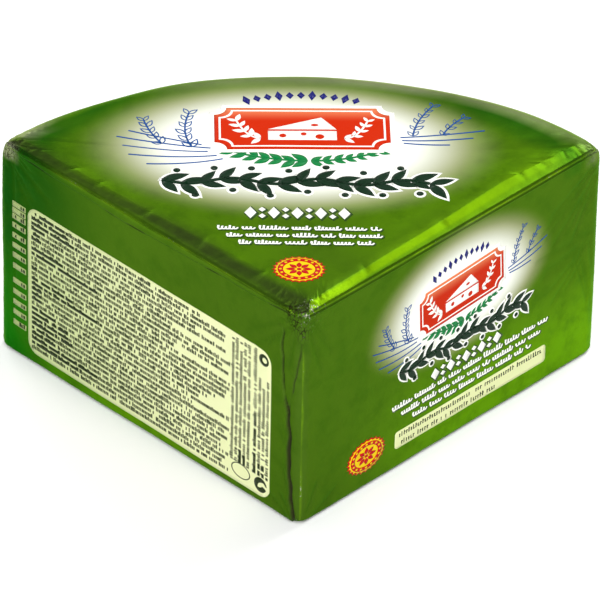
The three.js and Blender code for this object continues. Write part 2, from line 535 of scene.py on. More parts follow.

# %% [markdown]
# ## The painted dark band of the left bevel
# The foil shines, so its bevels don't show their own ink but what they face. The left bevel faces the
# dark side of the room, and that dark olive reflection is painted into its colour as a band. Where the
# band starts, is full and ends is given at a few distances from the point.

# %% The painted dark band
shadowed_start, shadowed_full, shadowed_end = (np.interp(along_left, left_places, distances) for distances in (
    [0.8, 0.9, 1.6, 0.6, 1.4, 0.6, 0.5, 0.7, 0.8],
    [4.6, 4.8, 5.0, 4.6, 4.2, 2.0, 1.8, 1.8, 2.2],
    [8.4, 8.0, 6.7, 6.5, 5.8, 3.9, 3.5, 4.0, 5.0],
))
shadowed_end = shadowed_end + wave(along_left, 9, 0.35, 51)
# Painted dark reflection on the left bevel
dull = step(inside_left - shadowed_start, shadowed_full - shadowed_start)
dull *= step(shadowed_end - inside_left, np.interp(along_left, [0, 60, 100, 138], [3.0, 2.4, 2.4, 2.0]))
dull *= step(height - crease_height - 0.4, 0.8)
dull *= np.interp(along_left, [0, 12, 60, 90, 115, 138], [0.9, 0.95, 0.98, 0.8, 0.72, 0.95])
dull = np.where(left_side, dull, dull * step(3 - local[:, 0], 4))
print("the dull band is up to", (shadowed_end - shadowed_start)[left_side].max().round(1), "mm wide")

# %% [markdown]
# ## The painted lime highlight of the right bevel
# The right bevel faces a window, and its lime highlight is painted into its colour as a band, with a
# painted shade strip under the band and painted bright lines on both folds and down the front edge.

# %% The lime band and the lit folds
lime_places = [0, 18, 36, 60, 82, 105, 125, 140]
lime_low, lime_peak, lime_high = (np.interp(along_right, lime_places, distances) for distances in (
    [0.4, 0.6, 0.6, 0.8, 1.0, 1.6, 1.6, 1.2],
    [1.4, 1.7, 2.2, 3.4, 4.2, 5.2, 4.6, 3.4],
    [3.4, 3.6, 4.2, 5.1, 6.0, 7.2, 6.8, 5.2],
))
# Painted highlight: the lime band on the right bevel
lime = step(inside_right - lime_low, lime_peak - lime_low) * step(lime_high - inside_right, 1.0)
lime *= np.interp(along_right, [0, 90, 112, 130], [1.0, 0.95, 0.5, 0.0])
lime = np.where(right_side, lime * step(height - crease_height - 0.3, 0.6), 0)
# Painted shade under the lime band
under_lime = step(lime_peak * 0.7 - inside_right, 0.9) * step(height - crease_height - 0.1, 0.4)
under_lime *= np.interp(along_right, [0, 40, 70, 110], [0.9, 0.8, 0.55, 0.4])
under_lime = np.where(right_side, under_lime, 0)
# Painted highlights on both folds and down the front edge
left_fold = ridge(height - crease_height + 0.15, 0.25) * step(1.6 - inside_left, 0.8)
right_fold = ridge(height - crease_height + 0.1, 0.24) * step(1.6 - inside_right, 0.8)
lit = np.where(left_side, 0.3 * left_fold * np.clip(0.3 + wave(along_left, 7, 1, 61), 0, 1), 0)
lit += np.where(right_side, 0.6 * right_fold * np.clip(0.6 + wave(along_right, 8, 1, 62), 0.2, 1), 0)
front_line = ridge(along_right - silver_edge, 0.3) * step(70 - height, 8)
lit += np.where(on_right, 0.26 * front_line, 0) + 0.35 * lime * step(26 - along_right, 12)
lit = np.clip(lit, 0, 1)
print("the lime band is up to", (lime_high - lime_low)[right_side].max().round(1), "mm wide")

# %% [markdown]
# ## The pale rim at the back of the top
# The round shoulder over the rind faces the sky, and its grey reflection is painted in as a pale sheen,
# with a painted band of deep green shade before it.
# Both change round the rind, so each has its share and its distance in from the rind at some turns, in
# degrees. With that all the masks are kept on the skin for the finish to read.

# %% The rim, and keeping the masks
inward = radius - np.hypot(local[:, 0], local[:, 1])
rim_places = [-45, -38, -33, -28, -22, -16, -8, 0, 10, 15, 25, 30, 34, 37, 40, 45]
rim_share, rim_reach, shade_share, shade_middle = (np.interp(turn_back, rim_places, values) for values in (
    [0.25, 0.4, 0.62, 0.7, 0.75, 0.95, 0.95, 0.65, 0.5, 0.4, 0.05, 0.1, 0.22, 0.45, 0.75, 0.8],
    [8.5, 8.6, 7.8, 7.7, 7.2, 9.0, 9.0, 9.5, 9.5, 9.0, 6.0, 5.0, 5.0, 6.6, 8.2, 9.3],
    [0.5, 1.0, 1.0, 1.0, 0.5, 0.15, 0, 0, 0, 0.1, 0.6, 0.9, 0.9, 0.85, 0.8, 0.4],
    [14.0, 13.5, 12.5, 12.2, 11.0, 10.0, 10.0, 10.0, 9.0, 8.0, 8.0, 9.0, 10.0, 11.0, 12.0, 12.5],
))
# Painted grey sheen on the rim
rim = rim_share * step(rim_reach - inward, 5) * step(height - roll_foot - 2, 3)
past_shade = inward - shade_middle
# Painted band of deep green shade before the rim
shady = shade_share * ridge(past_shade, np.where(past_shade > 0, 5.5, 2.6)) * step(height - roll_foot - 2, 3)
skin_masks = {
    "fold_lift": fold_lift, "crumple": crumple, "wear": wear, "gap": gap, "dull": dull, "lit": lit,
    "rim": rim, "shady": shady, "lime": lime, "under_lime": under_lime,
}
for name, values in skin_masks.items():
    kept = foil_skin.data.attributes.new(name, "FLOAT", "POINT")
    kept.data.foreach_set("value", values.astype(np.float32))
print("kept on the skin:", ", ".join(skin_masks))

# %% [markdown]
# ## Crease lines
# A crease in foil is a straight, sharp line that fades out at its ends. Some run out from the corners
# like a fan, where the sheet was gathered, and some cross the bevels. They are drawn as loose edges on
# the faces, each by its two ends, and the next step presses them into the skin.

# %% Crease lines
def fan(face, corner, middle, spread, lengths, count, seed):
    """Creases that run out from a corner of a face, about one direction in degrees."""
    draws = np.random.default_rng(seed)
    lines = []
    for _ in range(count):
        turn = math.radians(middle + draws.uniform(-spread, spread))
        way = np.array([math.cos(turn), math.sin(turn)])
        begin, length = draws.uniform(1.5, 6), draws.uniform(*lengths)
        side = np.array([-way[1], way[0]]) * draws.uniform(-2, 2)
        start = np.array(corner) + way * begin + side
        lines.append(face.at([start, start + way * length]))
    return lines


def across_bevel(side, places, seed):
    """Short creases over the bevel of a cut face, at these distances from the point."""
    draws = np.random.default_rng(seed)
    lines = []
    for place in places:
        lean = draws.uniform(-3, 3)
        ends = []
        for inset, shift in ((0.3, 0.0), (draws.uniform(4, 8), lean)):
            a = place + shift
            ends.append((side * (a - inset) * half, point_y + (a + inset) * half, bevel_height))
        lines.append(np.array(ends))
    return lines


# Single creases that were measured, by their ends: distance from the point, height
right_creases = (
    [(118.5, 65.6), (125.7, 67.8)], [(125.7, 67.8), (131.7, 66.5)], [(131.7, 66.5), (138.1, 65.4)],
    [(137.2, 65.1), (139.9, 68.7)], [(112.8, 52.3), (130.6, 51.5)], [(139.9, 28.2), (141.3, 13.3)],
    [(123.6, 52.0), (139.5, 51.7)], [(134.3, 87.6), (138.8, 79.0)],
)
left_creases = ([(-136.4, 12), (-135.3, 46)], [(-135.3, 46), (-136.2, 80)])
crease_lines = [
    *fan(right_face, (1, crease_height), -60, 28, (8, 26), 5, 1),
    *fan(left_face, (-1, crease_height), -128, 30, (8, 30), 6, 2),
    *fan(right_face, (radius - 3, crease_height - 6), -132, 20, (14, 34), 7, 3),
    *fan(right_face, (radius - 6, 48), -150, 22, (8, 22), 5, 13),
    *fan(right_face, (radius - 4, 22), 100, 14, (10, 26), 4, 14),
    *fan(left_face, (2 - radius, crease_height), -50, 26, (8, 24), 5, 4),
    *fan(right_face, (1, base_height), 50, 25, (6, 16), 3, 5),
    *fan(left_face, (-1, base_height), 128, 25, (6, 18), 4, 6),
    *fan(top_face, (0, point_y + 4), 90, 34, (5, 16), 6, 7),
    *fan(top_face, (-rear_across, point_y + rear_across), -12, 22, (6, 22), 5, 8),
    *fan(top_face, (rear_across, point_y + rear_across), 192, 22, (6, 22), 5, 9),
    *across_bevel(1, [9, 31, 70, 108, 119, 127, 134], 10),
    *(right_face.at(ends) for ends in right_creases),
    *(left_face.at(ends) for ends in left_creases),
    *across_bevel(-1, [8, 15, 28, 44, 50, 77, 99, 113, 126, 134], 11),
]
line_points = np.concatenate(crease_lines)
line_edges = [(2 * i, 2 * i + 1) for i in range(len(crease_lines))]
crease_paths = piece_from("crease_paths", line_points, edges=line_edges)
print(len(crease_lines), "crease lines")

# %% [markdown]
# ## Pressing the relief into the foil
# The skin gets its relief from one Geometry Nodes tree: broad soft dents, the facets of crumpled foil
# where it gathers, a narrow valley along each crease line, and the steps of the folds. A tree is used
# because each part is a rule over the surface with a size that can be tried at once; painting dents by
# hand would take longer and couldn't be repeated.

# %% The relief tree
relief, given, result = new_group("foil_relief", {
    "Geometry": (SHAPE, None), "Crease Paths": (THING, None), "Foil": (FINISH, None),
    "Dent Depth": (NUMBER, 0.0), "Dent Size": (NUMBER, 0.03), "Crumple Depth": (NUMBER, 0.0),
    "Crumple Size": (NUMBER, 0.004), "Crease Depth": (NUMBER, 0.0), "Crease Width": (NUMBER, 0.001),
    "Seed": (NUMBER, 0.0), "Box Low": (ARROW, None), "Box High": (ARROW, None),
}, {"Geometry": (SHAPE, None)}, "GeometryNodeTree")
place = add(relief, "GeometryNodeInputPosition").outputs[0]
normal = add(relief, "GeometryNodeInputNormal").outputs[0]


def stored(tree, name):
    return add(tree, "GeometryNodeInputNamedAttribute", {"Name": name}, data_type="FLOAT").outputs[0]


dent_noise = add(relief, "ShaderNodeTexNoise", {
    "Vector": place, "W": given["Seed"], "Scale": divided(1.0, given["Dent Size"]), "Detail": 1.0,
}, noise_dimensions="4D").outputs[0]
dents = times(minus(dent_noise, 0.5), given["Dent Depth"])
facet_scale = divided(1.0, given["Crumple Size"])
facet = add(relief, "ShaderNodeTexVoronoi", {"Vector": place, "W": given["Seed"], "Scale": facet_scale},
            voronoi_dimensions="4D", feature="DISTANCE_TO_EDGE").outputs[0]
facets = times(minus(facet, 0.25), given["Crumple Depth"])
facets = times(facets, stored(relief, "crumple"))
lines = add(relief, "GeometryNodeObjectInfo", {"Object": given["Crease Paths"]}, transform_space="RELATIVE")
gap_to = add(relief, "GeometryNodeProximity", {0: lines.outputs["Geometry"]}, target_element="EDGES")
away = divided(gap_to.outputs["Distance"], given["Crease Width"])
crease = calc("EXPONENT", times(away, -1.0))
valley = times(crease, given["Crease Depth"])
folds = times(stored(relief, "fold_lift"), MM)
total = minus(plus(plus(dents, facets), folds), valley)
target = vector_calc("ADD", place, vector_calc("SCALE", normal, total))
target = vector_calc("MAXIMUM", target, given["Box Low"])
target = vector_calc("MINIMUM", target, given["Box High"])
shaped = add(relief, "GeometryNodeSetPosition", {"Geometry": given["Geometry"], "Position": target})
smooth = add(relief, "GeometryNodeSetShadeSmooth", {0: shaped.outputs[0]})
whole = add(relief, "GeometryNodeRealizeInstances", {0: smooth.outputs[0]})
marked = add(relief, "GeometryNodeStoreNamedAttribute", {
    "Geometry": whole.outputs[0], "Name": "creased", "Value": crease,
}, data_type="FLOAT", domain="POINT")
coated = add(relief, "GeometryNodeSetMaterial", {"Geometry": marked.outputs[0], "Material": given["Foil"]})
relief.links.new(coated.outputs[0], result["Geometry"])
print(len(relief.nodes), "nodes in the relief tree")

# %% [markdown]
# ## Colours of the print
# The inks are named by the colour they have on the pack, as a picture shows it, and turned into the
# light that a shader works in. The foil's ground is green ink over metal; white, red and pale ink cover
# the metal more. The colours listed after the halo are painted light and shade, not ink, though the metal
# grey is also worn foil and the last green also the ground's mottle.

# %% Colours
def ink(red, green, blue):
    shown = np.array([red, green, blue]) / 255
    light = np.where(shown <= 0.04045, shown / 12.92, ((shown + 0.055) / 1.055) ** 2.4)
    return (*(float(v) for v in light), 1.0)


deep_green = ink(6, 66, 6)
deep_fresh_green = ink(12, 100, 8)
leaf_green = ink(70, 103, 25)
fresh_green = ink(98, 147, 13)
white_ink = ink(250, 251, 244)
halo_ink = ink(148, 153, 104)
# Painted light and shade, not ink: the rim's sheen and the shade before it, the glint on the front edge,
# shadow in gaps, the left bevel's dark reflection and the lime highlights
rim_sheen_grey = ink(172, 172, 144)
rim_green = ink(34, 92, 18)
metal_and_glint_grey = ink(180, 182, 164)
gap_shade = ink(34, 30, 18)
dark_reflection_olive = ink(53, 68, 31)
lit_lime = ink(150, 200, 24)
highlight_lime = ink(90, 126, 4)
# A darker green for the ground's random mottle, and for the painted shade under the lime band and along
# crease lines
mottle_and_shade_green = ink(46, 84, 12)

# %% [markdown]
# ## Fine creasing
# Between the big creases the foil is never quite flat: it has a fine, faceted crinkle that breaks up
# its gloss. It is the same on every ink, so it is one node group, and it only gives a height.

# %% The crinkle group
crinkle, given, result = new_group("foil_crinkle", {
    "Vector": (ARROW, None), "Facet Size": (NUMBER, 0.006), "Grain Size": (NUMBER, 0.0012),
}, {"Height": (NUMBER, None)})
facet = add(crinkle, "ShaderNodeTexVoronoi", {
    "Vector": given["Vector"], "Scale": divided(1.0, given["Facet Size"]), "Smoothness": 0.6,
}, feature="SMOOTH_F1").outputs["Distance"]
grain = add(crinkle, "ShaderNodeTexNoise", {
    "Vector": given["Vector"], "Scale": divided(1.0, given["Grain Size"]), "Detail": 2.0,
}).outputs[0]
crinkle.links.new(calc("MULTIPLY_ADD", grain, 0.25, facet), result["Height"])

# %% [markdown]
# ## Soft ovals
# Behind the artwork on the top and the right face the green fades through a grey halo to white, in a
# soft oval that reaches further up than down, or the other way. One group gives both fades, from how far
# across, up and in from the face a point lies; past a depth there is none, so an oval stays on its face.

# %% The soft oval group
soft_oval, given, result = new_group("soft_oval", {
    "Across": (NUMBER, 0.0), "Up": (NUMBER, 0.0), "Inside": (NUMBER, 0.0),
    "Half Width": (NUMBER, 1.0), "Height Above": (NUMBER, 1.0), "Height Below": (NUMBER, 1.0),
    "Depth": (NUMBER, 0.004),
}, {"Halo": (NUMBER, None), "White": (NUMBER, None)})
above = divided(calc("MAXIMUM", given["Up"], 0.0), given["Height Above"])
below = divided(calc("MINIMUM", given["Up"], 0.0), given["Height Below"])
upright = plus(above, below)
sideways = divided(given["Across"], given["Half Width"])
squares = [calc("POWER", term, 2.0) for term in (sideways, upright)]
distance = calc("SQRT", plus(*squares))
on_face = calc("LESS_THAN", given["Inside"], given["Depth"])
for output, outer, inner in (("Halo", 0.88, 0.62), ("White", 0.74, 0.42)):
    fade = add(soft_oval, "ShaderNodeMapRange", {"Value": distance, "From Min": outer, "From Max": inner},
               interpolation_type="SMOOTHSTEP").outputs[0]
    soft_oval.links.new(times(fade, on_face), result[output])

# %% [markdown]
# ## Steps that finishes share
# Every finish starts as a plain shader with its uniform numbers set, and reads places in the object's own
# coordinates. Two colours are mixed by a share, a number is eased from one range to another, and the
# crinkle is laid on as a bump.

# %% Steps for finishes
def new_finish(name, **sockets):
    made = bpy.data.materials.new(name)
    made.use_nodes = True
    tree = made.node_tree
    shader = tree.nodes["Principled BSDF"]
    for key, value in sockets.items():
        shader.inputs[key.replace("_", " ")].default_value = value
    where = add(tree, "ShaderNodeTexCoord").outputs["Object"]
    return made, tree, shader.inputs, where


crinkle_depth = 0.4 * MM


def crinkled(tree, shader, where, strength):
    """The fine crinkle as a bump on a finish."""
    group = add(tree, "ShaderNodeGroup", {}, node_tree=crinkle)
    tree.links.new(where, group.inputs["Vector"])
    sockets = {"Height": group.outputs["Height"], "Distance": crinkle_depth, "Strength": strength}
    tree.links.new(add(tree, "ShaderNodeBump", sockets).outputs[0], shader["Normal"])


def mixed(share, first, second):
    sockets = {0: share, 6: first, 7: second}
    return add(share.id_data, "ShaderNodeMix", sockets, data_type="RGBA").outputs[2]


def ranged(value, start, end, low_value=0.0, high_value=1.0):
    """A number eased from one range to another."""
    sockets = {"Value": value, "From Min": start, "From Max": end, "To Min": low_value, "To Max": high_value}
    return add(value.id_data, "ShaderNodeMapRange", sockets, interpolation_type="SMOOTHSTEP").outputs[0]


def dotted(where, way):
    sockets = {0: where, 1: way}
    return add(where.id_data, "ShaderNodeVectorMath", sockets, operation="DOT_PRODUCT").outputs["Value"]


def cloudy(where, scale, detail=2.0, roughness=0.5):
    """Soft noise at a place, about 0.5 on the whole."""
    sockets = {"Vector": where, "Scale": scale, "Detail": detail, "Roughness": roughness}
    return add(where.id_data, "ShaderNodeTexNoise", sockets).outputs[0]


# %% [markdown]
# ## The printed foil: its ground
# The ground colour is deep green at the far left, leaf green over most of the pack and fresh green on the
# top and low down at the sides, with faint clouds in it. The edges between them wander with a slow mottle.

# %% The ground of the foil
printed_foil, tree, shader, where = new_finish("printed_foil", Roughness=0.4, Specular_IOR_Level=0.2,
                                                Specular_Tint=(0.5, 0.8, 0.15, 1))
x, y, z = add(tree, "ShaderNodeSeparateXYZ", {0: where}).outputs
mottle = cloudy(where, 28.0)
across = calc("MULTIPLY_ADD", mottle, 0.03, x)
is_top = ranged(z, 0.083, 0.0865)
to_left = add(tree, "ShaderNodeMix", {
    0: is_top, 2: ranged(across, -0.037, -0.089), 3: ranged(across, -0.058, -0.081),
}, data_type="FLOAT").outputs[0]
outer = ranged(calc("ABSOLUTE", x), 0.006, 0.062)
low_down = times(ranged(calc("MULTIPLY_ADD", mottle, 0.02, z), 0.062, 0.018), outer)
on_top = times(is_top, ranged(mottle, 0.3, 0.7, 0.15, 0.65))
ground = mixed(calc("MAXIMUM", low_down, on_top), leaf_green, fresh_green)
ground = mixed(to_left, ground, mixed(ranged(z, 0.06, 0.012), deep_green, deep_fresh_green))
ground = mixed(ranged(cloudy(where, 120.0, 5.0, 0.65), 0.42, 0.72, 0.0, 0.4), ground, mottle_and_shade_green)
print(len(tree.nodes), "nodes in the foil's finish so far")

# %% [markdown]
# ## The printed foil: the white ovals
# Each oval has its middle on its face, half a width, a height above and below the middle, and a depth, in
# metres. White ink covers the metal, so the ovals also take the metal out of the finish.

# %% The ovals on the foil
top_oval_middle, right_oval_middle = (-0.0035, 0.0238), (0.075, 0.0561)
plane_to_point = point_y * half * MM
right_across = minus(dotted(where, (half, half, 0)), right_oval_middle[0] + plane_to_point)
right_inside = minus(-plane_to_point, dotted(where, (half, -half, 0)))
oval_keys = ("Across", "Up", "Inside", "Half Width", "Height Above", "Height Below", "Depth")
ovals = []
for values in (
    (minus(x, top_oval_middle[0]), minus(y, top_oval_middle[1]), minus(high[2] * MM, z),
     0.084, 0.047, 0.0515, 0.004),
    (right_across, minus(z, right_oval_middle[1]), right_inside, 0.0525, 0.035, 0.0275, 0.0013),
):
    oval = add(tree, "ShaderNodeGroup", dict(zip(oval_keys, values)), node_tree=soft_oval)
    ovals.append(oval.outputs)
halo, white = (calc("MAXIMUM", ovals[0][key], ovals[1][key]) for key in ("Halo", "White"))
tinted = mixed(white, mixed(halo, ground, halo_ink), white_ink)
print(len(ovals), "ovals")

# %% [markdown]
# ## The printed foil: what bevels and folds show
# The masks kept on the skin lay their painted light and shade over the ground one after another: the deep
# shaded band and the pale sheen of the rim at the back, the dark reflection on the left bevel, the lime
# highlight on the right bevel with the painted shade under it, painted shade along the crease lines, and
# the lit folds. A soft blotch keeps the bands from being even.

# %% The tints of the foil
masks = {name: add(tree, "ShaderNodeAttribute", attribute_name=name).outputs["Fac"]
         for name in (*skin_masks, "creased") if name != "fold_lift"}
speck = cloudy(where, 900.0, 3.0, 0.7)
blotch = cloudy(where, 160.0, 3.0)
# Painted shade of the deep band before the rim
finish = mixed(times(masks["shady"], minus(1.0, halo)), tinted, rim_green)
for share, tint in (
    # Painted sheen of the rim
    (times(masks["rim"], ranged(blotch, 0.25, 0.6, 0.85, 1.0)), rim_sheen_grey),
    # Painted dark reflection of the left bevel
    (times(masks["dull"], ranged(blotch, 0.25, 0.6, 0.8, 1.0)), dark_reflection_olive),
    # Painted lime highlight, and the painted shade under it
    (masks["lime"], highlight_lime),
    (times(masks["under_lime"], 0.7), mottle_and_shade_green),
    # Painted shade along the crease lines
    (times(masks["creased"], 0.45), mottle_and_shade_green),
    # Painted highlights on the lit folds
    (times(masks["lit"], ranged(speck, 0.3, 0.6, 0.5, 0.95)), lit_lime),
):
    finish = mixed(share, finish, tint)
print(len(masks), "masks read from the skin")

# %% [markdown]
# ## The printed foil: threads, rubbed metal and painted shadow
# Where the foil is crumpled, a net of fine threads runs through it, a little longer up than across: some
# are painted shade in its folds and some are rubbed to the metal. They are the edges of small cells, bent
# by a noise. Worn specks show the metal too, a painted glint down the front edge has the same grey, and
# gaping edges get a painted dark shadow. The metal shows through green ink, so the ground is mostly
# metallic, less so under the white ink.

# %% The threads and the metal
warp = add(tree, "ShaderNodeTexNoise", {"Vector": where, "Scale": 300.0, "Detail": 2.0}).outputs["Color"]
upright_cells = vector_calc("MULTIPLY", where, (1.0, 1.0, 0.45))
sockets = {"Vector": vector_calc("ADD", upright_cells, vector_calc("SCALE", warp, 0.0022)), "Scale": 880.0}
cell_edge = add(tree, "ShaderNodeTexVoronoi", sockets, feature="DISTANCE_TO_EDGE").outputs[0]
thread = ranged(cell_edge, 0.12, 0.03)
silvered, shadow_line_share = masks["wear"], masks["gap"]
# Painted shade in the folds of crumpled foil
shadow = times(thread, ranged(masks["crumple"], 0.22, 0.6))
shadow = times(shadow, ranged(blotch, 0.6, 0.46, 0.2, 0.95))
silvery = times(thread, ranged(calc("MULTIPLY_ADD", silvered, 0.5, speck), 0.68, 0.84))
silvery = times(silvery, ranged(silvered, 0.08, 0.3))
silvery = times(silvery, ranged(blotch, 0.46, 0.58, 0.15, 1.0))
# Bare metal where the ink is worn, and the painted glint down the front edge
rubbed_and_glint = calc("MAXIMUM", silvery, ranged(calc("MULTIPLY_ADD", silvered, 0.42, speck), 0.83, 0.9))
finish = mixed(rubbed_and_glint, mixed(shadow, finish, gap_shade), metal_and_glint_grey)
# Painted shadow in the gaps and along the foot
finish = mixed(times(shadow_line_share, 1.0, clamp=True), finish, gap_shade)
tree.links.new(finish, shader["Base Color"])
metal = calc("MULTIPLY_ADD", ranged(halo, 0.1, 0.8), -0.75, 0.88)
metal = plus(metal, times(rubbed_and_glint, 0.6), clamp=True)
tree.links.new(minus(metal, shadow_line_share, clamp=True), shader["Metallic"])
crinkled(tree, shader, where, 0.35)
print(len(tree.nodes), "nodes in the foil's whole finish")

# %% [markdown]
# ## Pressing the foil
# The tree runs on the skin with the depths and sizes of this pack, in metres, and keeps every point
# inside the solid's box. The crease lines aren't needed after that. The skin takes the place of the
# plain solid and has its finish.

# %% Press the relief
apply_tree(
    foil_skin, relief, crease_paths=crease_paths, foil=printed_foil, dent_depth=0.0007, dent_size=0.034,
    crumple_depth=0.0018, crumple_size=0.0032, crease_depth=0.00032, crease_width=0.0007, seed=4.0,
    box_low=[float(v) for v in (low + 0.03) * MM], box_high=[float(v) for v in (high - 0.03) * MM],
)
discard(crease_paths)
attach(foil_skin, "root")
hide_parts("wrapped_wedge")
print("foil skin after the relief:", len(foil_skin.data.polygons), "faces")

# %% [markdown]
# ## Shapes drawn on paper
# Every printed shape is drawn flat first, in millimetres, as one closed outline or more, like a cut
# stencil. The outlines are filled with small triangles, so that the print can follow the foil's dents. A
# picture on the foil would be quicker, but drawn shapes stay crisp at any distance.

# %% Drawing
drawings = []


def turned(points, degrees=0.0, grow=1.0, shift=(0.0, 0.0)):
    turn = math.radians(degrees)
    matrix = np.array([[math.cos(turn), math.sin(turn)], [-math.sin(turn), math.cos(turn)]])
    return np.asarray(points, float) @ matrix * grow + shift


def disc(x, y, size, sides=28, squash=1.0):
    turn = np.arange(sides) * 2 * math.pi / sides
    return np.stack([x + size * np.cos(turn), y + size * squash * np.sin(turn)], 1)


def leaf(length, width, grow=0.0, steps=9):
    """A pointed leaf that lies to the right of its stalk's end."""
    t = np.linspace(0, 1, steps)
    upper = width / 2 * np.sin(math.pi * t**0.85)
    edge = np.concatenate([np.stack([length * t, upper], 1), np.stack([length * t, -upper], 1)[-2:0:-1]])
    return grown(edge, grow) if grow else edge


def grown(loop, by):
    """A clockwise or anticlockwise loop made wider all round; its sharp tips are blunted."""
    ahead, behind = np.roll(loop, -1, 0) - loop, loop - np.roll(loop, 1, 0)
    way = ahead / np.linalg.norm(ahead, axis=1)[:, None] + behind / np.linalg.norm(behind, axis=1)[:, None]
    size = np.linalg.norm(way, axis=1)[:, None]
    out = np.stack([way[:, 1], -way[:, 0]], 1) / np.maximum(size, 1e-6)
    area = np.sum(loop[:, 0] * np.roll(loop[:, 1], -1) - loop[:, 1] * np.roll(loop[:, 0], -1))
    reach = np.minimum(2 / np.maximum(size, 0.5), 1.6)
    return loop + out * reach * by * np.sign(area)


def stroke(path, width, cap=5):
    """The outline of a line of this width along a path, with round ends."""
    path = np.asarray(path, float)
    way = np.gradient(path, axis=0)
    way /= np.linalg.norm(way, axis=1)[:, None]
    side = np.stack([-way[:, 1], way[:, 0]], 1) * width / 2
    ends = []
    for at, first in ((0, 90), (-1, -90)):
        turns = np.radians(np.linspace(first, first + 180, cap + 2)[1:-1])
        ahead = np.outer(np.cos(turns), way[at]) * width / 2
        ends.append(path[at] + ahead + np.outer(np.sin(turns), side[at]))
    return np.concatenate([path - side, ends[1], (path + side)[::-1], ends[0]])


def four_corners(width, tall, size, first, sweep, steps):
    """Arcs at the corners of a rectangle, anticlockwise, each turned on from the last by a quarter."""
    loops = []
    for k, (sx, sy) in enumerate(((1, 1), (-1, 1), (-1, -1), (1, -1))):
        start = math.radians(first + 90 * k)
        middle = (sx * width / 2, sy * tall / 2)
        loops.append(arc(middle, size, start, start + math.radians(sweep), np.linspace(0, 1, steps)))
    return np.concatenate(loops)


def rounded(width, tall, corner, steps=6):
    """A rounded rectangle about the middle."""
    return four_corners(width - 2 * corner, tall - 2 * corner, corner, 0, 90, steps)


def ticket(width, tall, scoop, steps=9):
    """A rectangle with its corners scooped out."""
    return four_corners(width, tall, scoop, -90, -90, steps)


def in_steps(loop, longest=2.2):
    """The same loop, with its long straight sides cut in short steps."""
    ends = np.roll(loop, -1, 0)
    steps = np.maximum(np.ceil(np.linalg.norm(ends - loop, axis=1) / longest).astype(int), 1)
    parts = [start + (end - start) * np.arange(n)[:, None] / n for start, end, n in zip(loop, ends, steps)]
    return np.concatenate(parts)


def times_round(spots, loop):
    """How many times a loop goes round each spot."""
    a, b = loop, np.roll(loop, -1, 0)
    x, y = spots[:, :1], spots[:, 1:2]
    side = (b[:, 0] - a[:, 0]) * (y - a[:, 1]) - (x - a[:, 0]) * (b[:, 1] - a[:, 1])
    rising = (a[:, 1] <= y) & (b[:, 1] > y) & (side > 0)
    falling = (a[:, 1] > y) & (b[:, 1] <= y) & (side < 0)
    return rising.sum(1) - falling.sum(1)


def covered(spots, loops):
    found = np.zeros(len(spots), bool)
    for loop in loops:
        near_by = np.flatnonzero(np.all((spots >= loop.min(0)) & (spots <= loop.max(0)), 1) & ~found)
        found[near_by] = times_round(spots[near_by], loop) != 0
    return found


def drawn(name, shapes, holes=(), grid=2.2):
    """A flat mesh of all these shapes together, less the holes."""
    loops = [in_steps(np.asarray(loop, float), grid) for loop in (*shapes, *holes)]
    corners = np.concatenate(loops)
    edges, start = [], 0
    for loop in loops:
        edges += [(start + i, start + (i + 1) % len(loop)) for i in range(len(loop))]
        start += len(loop)
    xs, ys = (np.arange(corners[:, k].min() + grid / 2, corners[:, k].max(), grid) for k in (0, 1))
    mesh_points = np.stack(np.meshgrid(xs, ys), -1).reshape(-1, 2)
    mesh_points = mesh_points[covered(mesh_points, loops[: len(shapes)])]
    spots = [Vector(p) for p in np.concatenate([corners, mesh_points])]
    found = delaunay_2d_cdt(spots, edges, [], 0, 1e-4)
    spots, triangles = np.array([tuple(p) for p in found[0]]), np.array(found[2])
    centres = spots[triangles].mean(1)
    triangles = triangles[covered(centres, loops[: len(shapes)]) & ~covered(centres, loops[len(shapes):])]
    used, triangles = np.unique(triangles, return_inverse=True)
    made = piece_from(f"drawn_{name}", np.column_stack([spots[used], 0 * used]), triangles.reshape(-1, 3))
    drawings.append(made)
    return made


# %% [markdown]
# ## Printing on the foil
# A drawn shape is laid in front of its face and pressed straight onto the skin, so it takes the skin's
# dents, and is given the thickness of a film of ink. It becomes a closed film that sinks a little into
# the foil. One Geometry Nodes tree does this for every ink, since the rule is always the same.

# %% The printing tree
printing, given, result = new_group("print_on_foil", {
    "Geometry": (SHAPE, None), "Foil Skin": (THING, None), "Ink": (FINISH, None),
    "Outward": (ARROW, None), "Lift": (NUMBER, 0.0), "Sink": (NUMBER, 0.0),
}, {"Geometry": (SHAPE, None)}, "GeometryNodeTree")
skin_shape = add(printing, "GeometryNodeObjectInfo", {"Object": given["Foil Skin"]},
                 transform_space="RELATIVE")
hit = add(printing, "GeometryNodeRaycast", {
    "Target Geometry": skin_shape.outputs["Geometry"],
    "Ray Direction": vector_calc("SCALE", given["Outward"], -1.0), "Ray Length": 0.05,
})
inward_step = vector_calc("SCALE", given["Outward"], times(given["Sink"], -1.0))
sunk = vector_calc("ADD", hit.outputs["Hit Position"], inward_step)
laid = add(printing, "GeometryNodeSetPosition", {
    "Geometry": given["Geometry"], "Selection": hit.outputs["Is Hit"], "Position": sunk,
}).outputs[0]
raised = add(printing, "GeometryNodeExtrudeMesh", {
    "Mesh": laid, "Offset": given["Outward"], "Offset Scale": plus(given["Lift"], given["Sink"]),
    "Individual": False,
})
smooth = add(printing, "GeometryNodeSetShadeSmooth", {
    0: raised.outputs["Mesh"], "Shade Smooth": raised.outputs["Top"],
})
under = add(printing, "GeometryNodeFlipFaces", {0: laid}).outputs[0]
joined = add(printing, "GeometryNodeJoinGeometry")
for part in (smooth.outputs[0], under):
    printing.links.new(part, joined.inputs[0])
closed = add(printing, "GeometryNodeMergeByDistance", {"Geometry": joined.outputs[0], "Distance": 1e-7})
